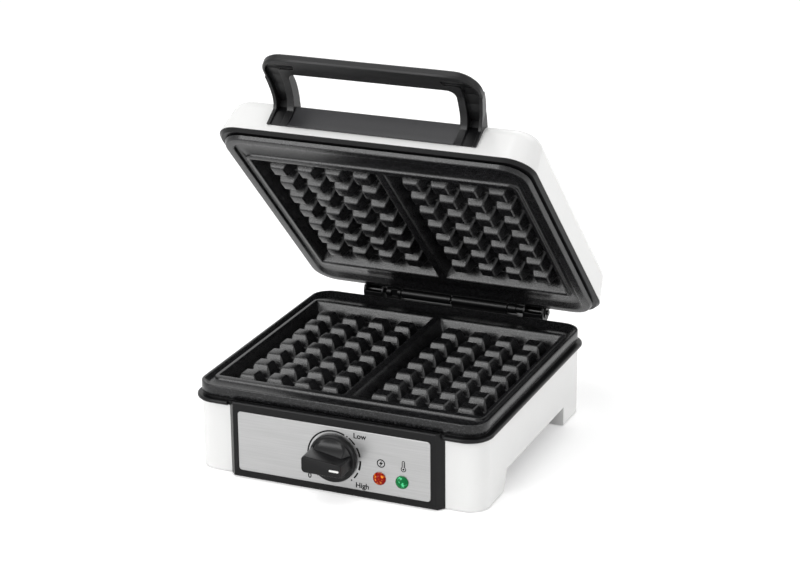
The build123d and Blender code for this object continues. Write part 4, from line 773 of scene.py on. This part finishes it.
class WAFFLE_OT_stage(bpy.types.Operator):
    """Makes the camera, the floor, the world and the lamps"""
    bl_idname = "waffle.stage"
    bl_label = "Stage"

    def execute(self, context):
        scene = context.scene
        # The fitted camera: lens and sensor in mm, then its place and the point it looks at in metres
        camera = bpy.data.cameras.new("camera")
        camera.lens = 104.39
        camera.sensor_width = 36.0
        camera.clip_end = 20.0
        holder = placed("camera", camera)
        place = Vector((0.648867, -1.500898, 0.712412))
        ahead = (Vector((0.00492, -0.0026, 0.12404)) - place).normalized()
        right = ahead.cross(Vector((0, 0, 1))).normalized()
        down = ahead.cross(right)
        roll = math.radians(0.49)
        across = right * math.cos(roll) + down * math.sin(roll)
        up = right * math.sin(roll) - down * math.cos(roll)
        turn = Matrix((across, up, -ahead)).transposed()
        holder.matrix_world = Matrix.Translation(place) @ turn.to_4x4()
        scene.camera = holder

        floor_mesh = bpy.data.meshes.new("floor")
        reach = 6.0
        corners = [(-reach, -reach, 0), (reach, -reach, 0), (reach, reach, 0), (-reach, reach, 0)]
        floor_mesh.from_pydata(corners, [], [(0, 1, 2, 3)])
        floor = placed("floor", floor_mesh)
        paint = new_material("matt_white_floor_paint")
        matt = node(paint, "ShaderNodeBsdfDiffuse", inputs={"Color": linear("#ffffff"), "Roughness": 0.4})
        # The camera sees the floor a little whiter than its light alone makes it, and still sees the shadow
        lift = node(paint, "ShaderNodeMath", {"operation": "MULTIPLY"}, {1: 0.3},
                    {0: (seen_directly(paint), "Value")})
        glow = node(paint, "ShaderNodeEmission", inputs={"Color": linear("#ffffff")},
                    links={"Strength": (lift, "Value")})
        both = node(paint, "ShaderNodeAddShader", links={0: (matt, "BSDF"), 1: (glow, "Emission")})
        node(paint, "ShaderNodeOutputMaterial", links={"Surface": (both, "Shader")})
        floor_mesh.materials.append(paint)

        world = bpy.data.worlds.new("studio")
        scene.world = world
        world.use_nodes = True
        world.node_tree.nodes.clear()
        plain = node(world, "ShaderNodeBackground", inputs={"Color": linear("#fafafa"), "Strength": 0.5})
        white = node(world, "ShaderNodeBackground", inputs={"Color": linear("#ffffff"), "Strength": 1.0})
        mix = node(world, "ShaderNodeMixShader",
                   links={0: (seen_directly(world), "Value"), 1: (plain, "Background"),
                          2: (white, "Background")})
        node(world, "ShaderNodeOutputWorld", links={"Surface": (mix, "Shader")})

        soft_light("key_softbox", (-0.62, -1.3, 0.68), (0, 0, 0.12), 0.75, 0.6, 9)
        soft_light("top_softbox", (-0.3, -0.3, 1.9), (0, 0, 0.1), 1.2, 1.2, 8)
        soft_light("side_softbox", (1.7, -0.3, 0.8), (0, 0, 0.1), 0.8, 1.0, 6)
        soft_light("back_softbox", (0.2, 1.4, 1.5), (0, 0, 0.15), 1.6, 0.7, 7)
        scene.view_settings.view_transform = "Standard"
        return {"FINISHED"}


class WAFFLE_PT_panel(bpy.types.Panel):
    """Sidebar panel that lists the pieces"""
    bl_idname = "WAFFLE_PT_panel"
    bl_label = "Waffle Iron"
    bl_space_type = "VIEW_3D"
    bl_region_type = "UI"
    bl_category = "Waffle Iron"

    def draw(self, context):
        for step in steps:
            self.layout.operator(step.bl_idname)
        for group in (context.scene.iron_sizes, context.scene.iron_colours):
            for name in group.__annotations__:
                self.layout.prop(group, name)


steps = (
    WAFFLE_OT_stage, WAFFLE_OT_finishes, WAFFLE_OT_lower_plate, WAFFLE_OT_upper_plate, WAFFLE_OT_knob,
    WAFFLE_OT_lenses, WAFFLE_OT_marks,
)
classes = (IronSizes, IronColours, *steps, WAFFLE_PT_panel)


def register():
    """Adds the classes and the scene's settings."""
    for made in classes:
        bpy.utils.register_class(made)
    bpy.types.Scene.iron_sizes = PointerProperty(type=IronSizes)
    bpy.types.Scene.iron_colours = PointerProperty(type=IronColours)


def unregister():
    """Takes them away again."""
    del bpy.types.Scene.iron_sizes
    del bpy.types.Scene.iron_colours
    for made in reversed(classes):
        bpy.utils.unregister_class(made)


def main():
    """Makes every piece in order."""
    register()
    for step in steps:
        group, name = step.bl_idname.split(".")
        getattr(getattr(bpy.ops, group), name)()


if __name__ == "__main__":
    main()
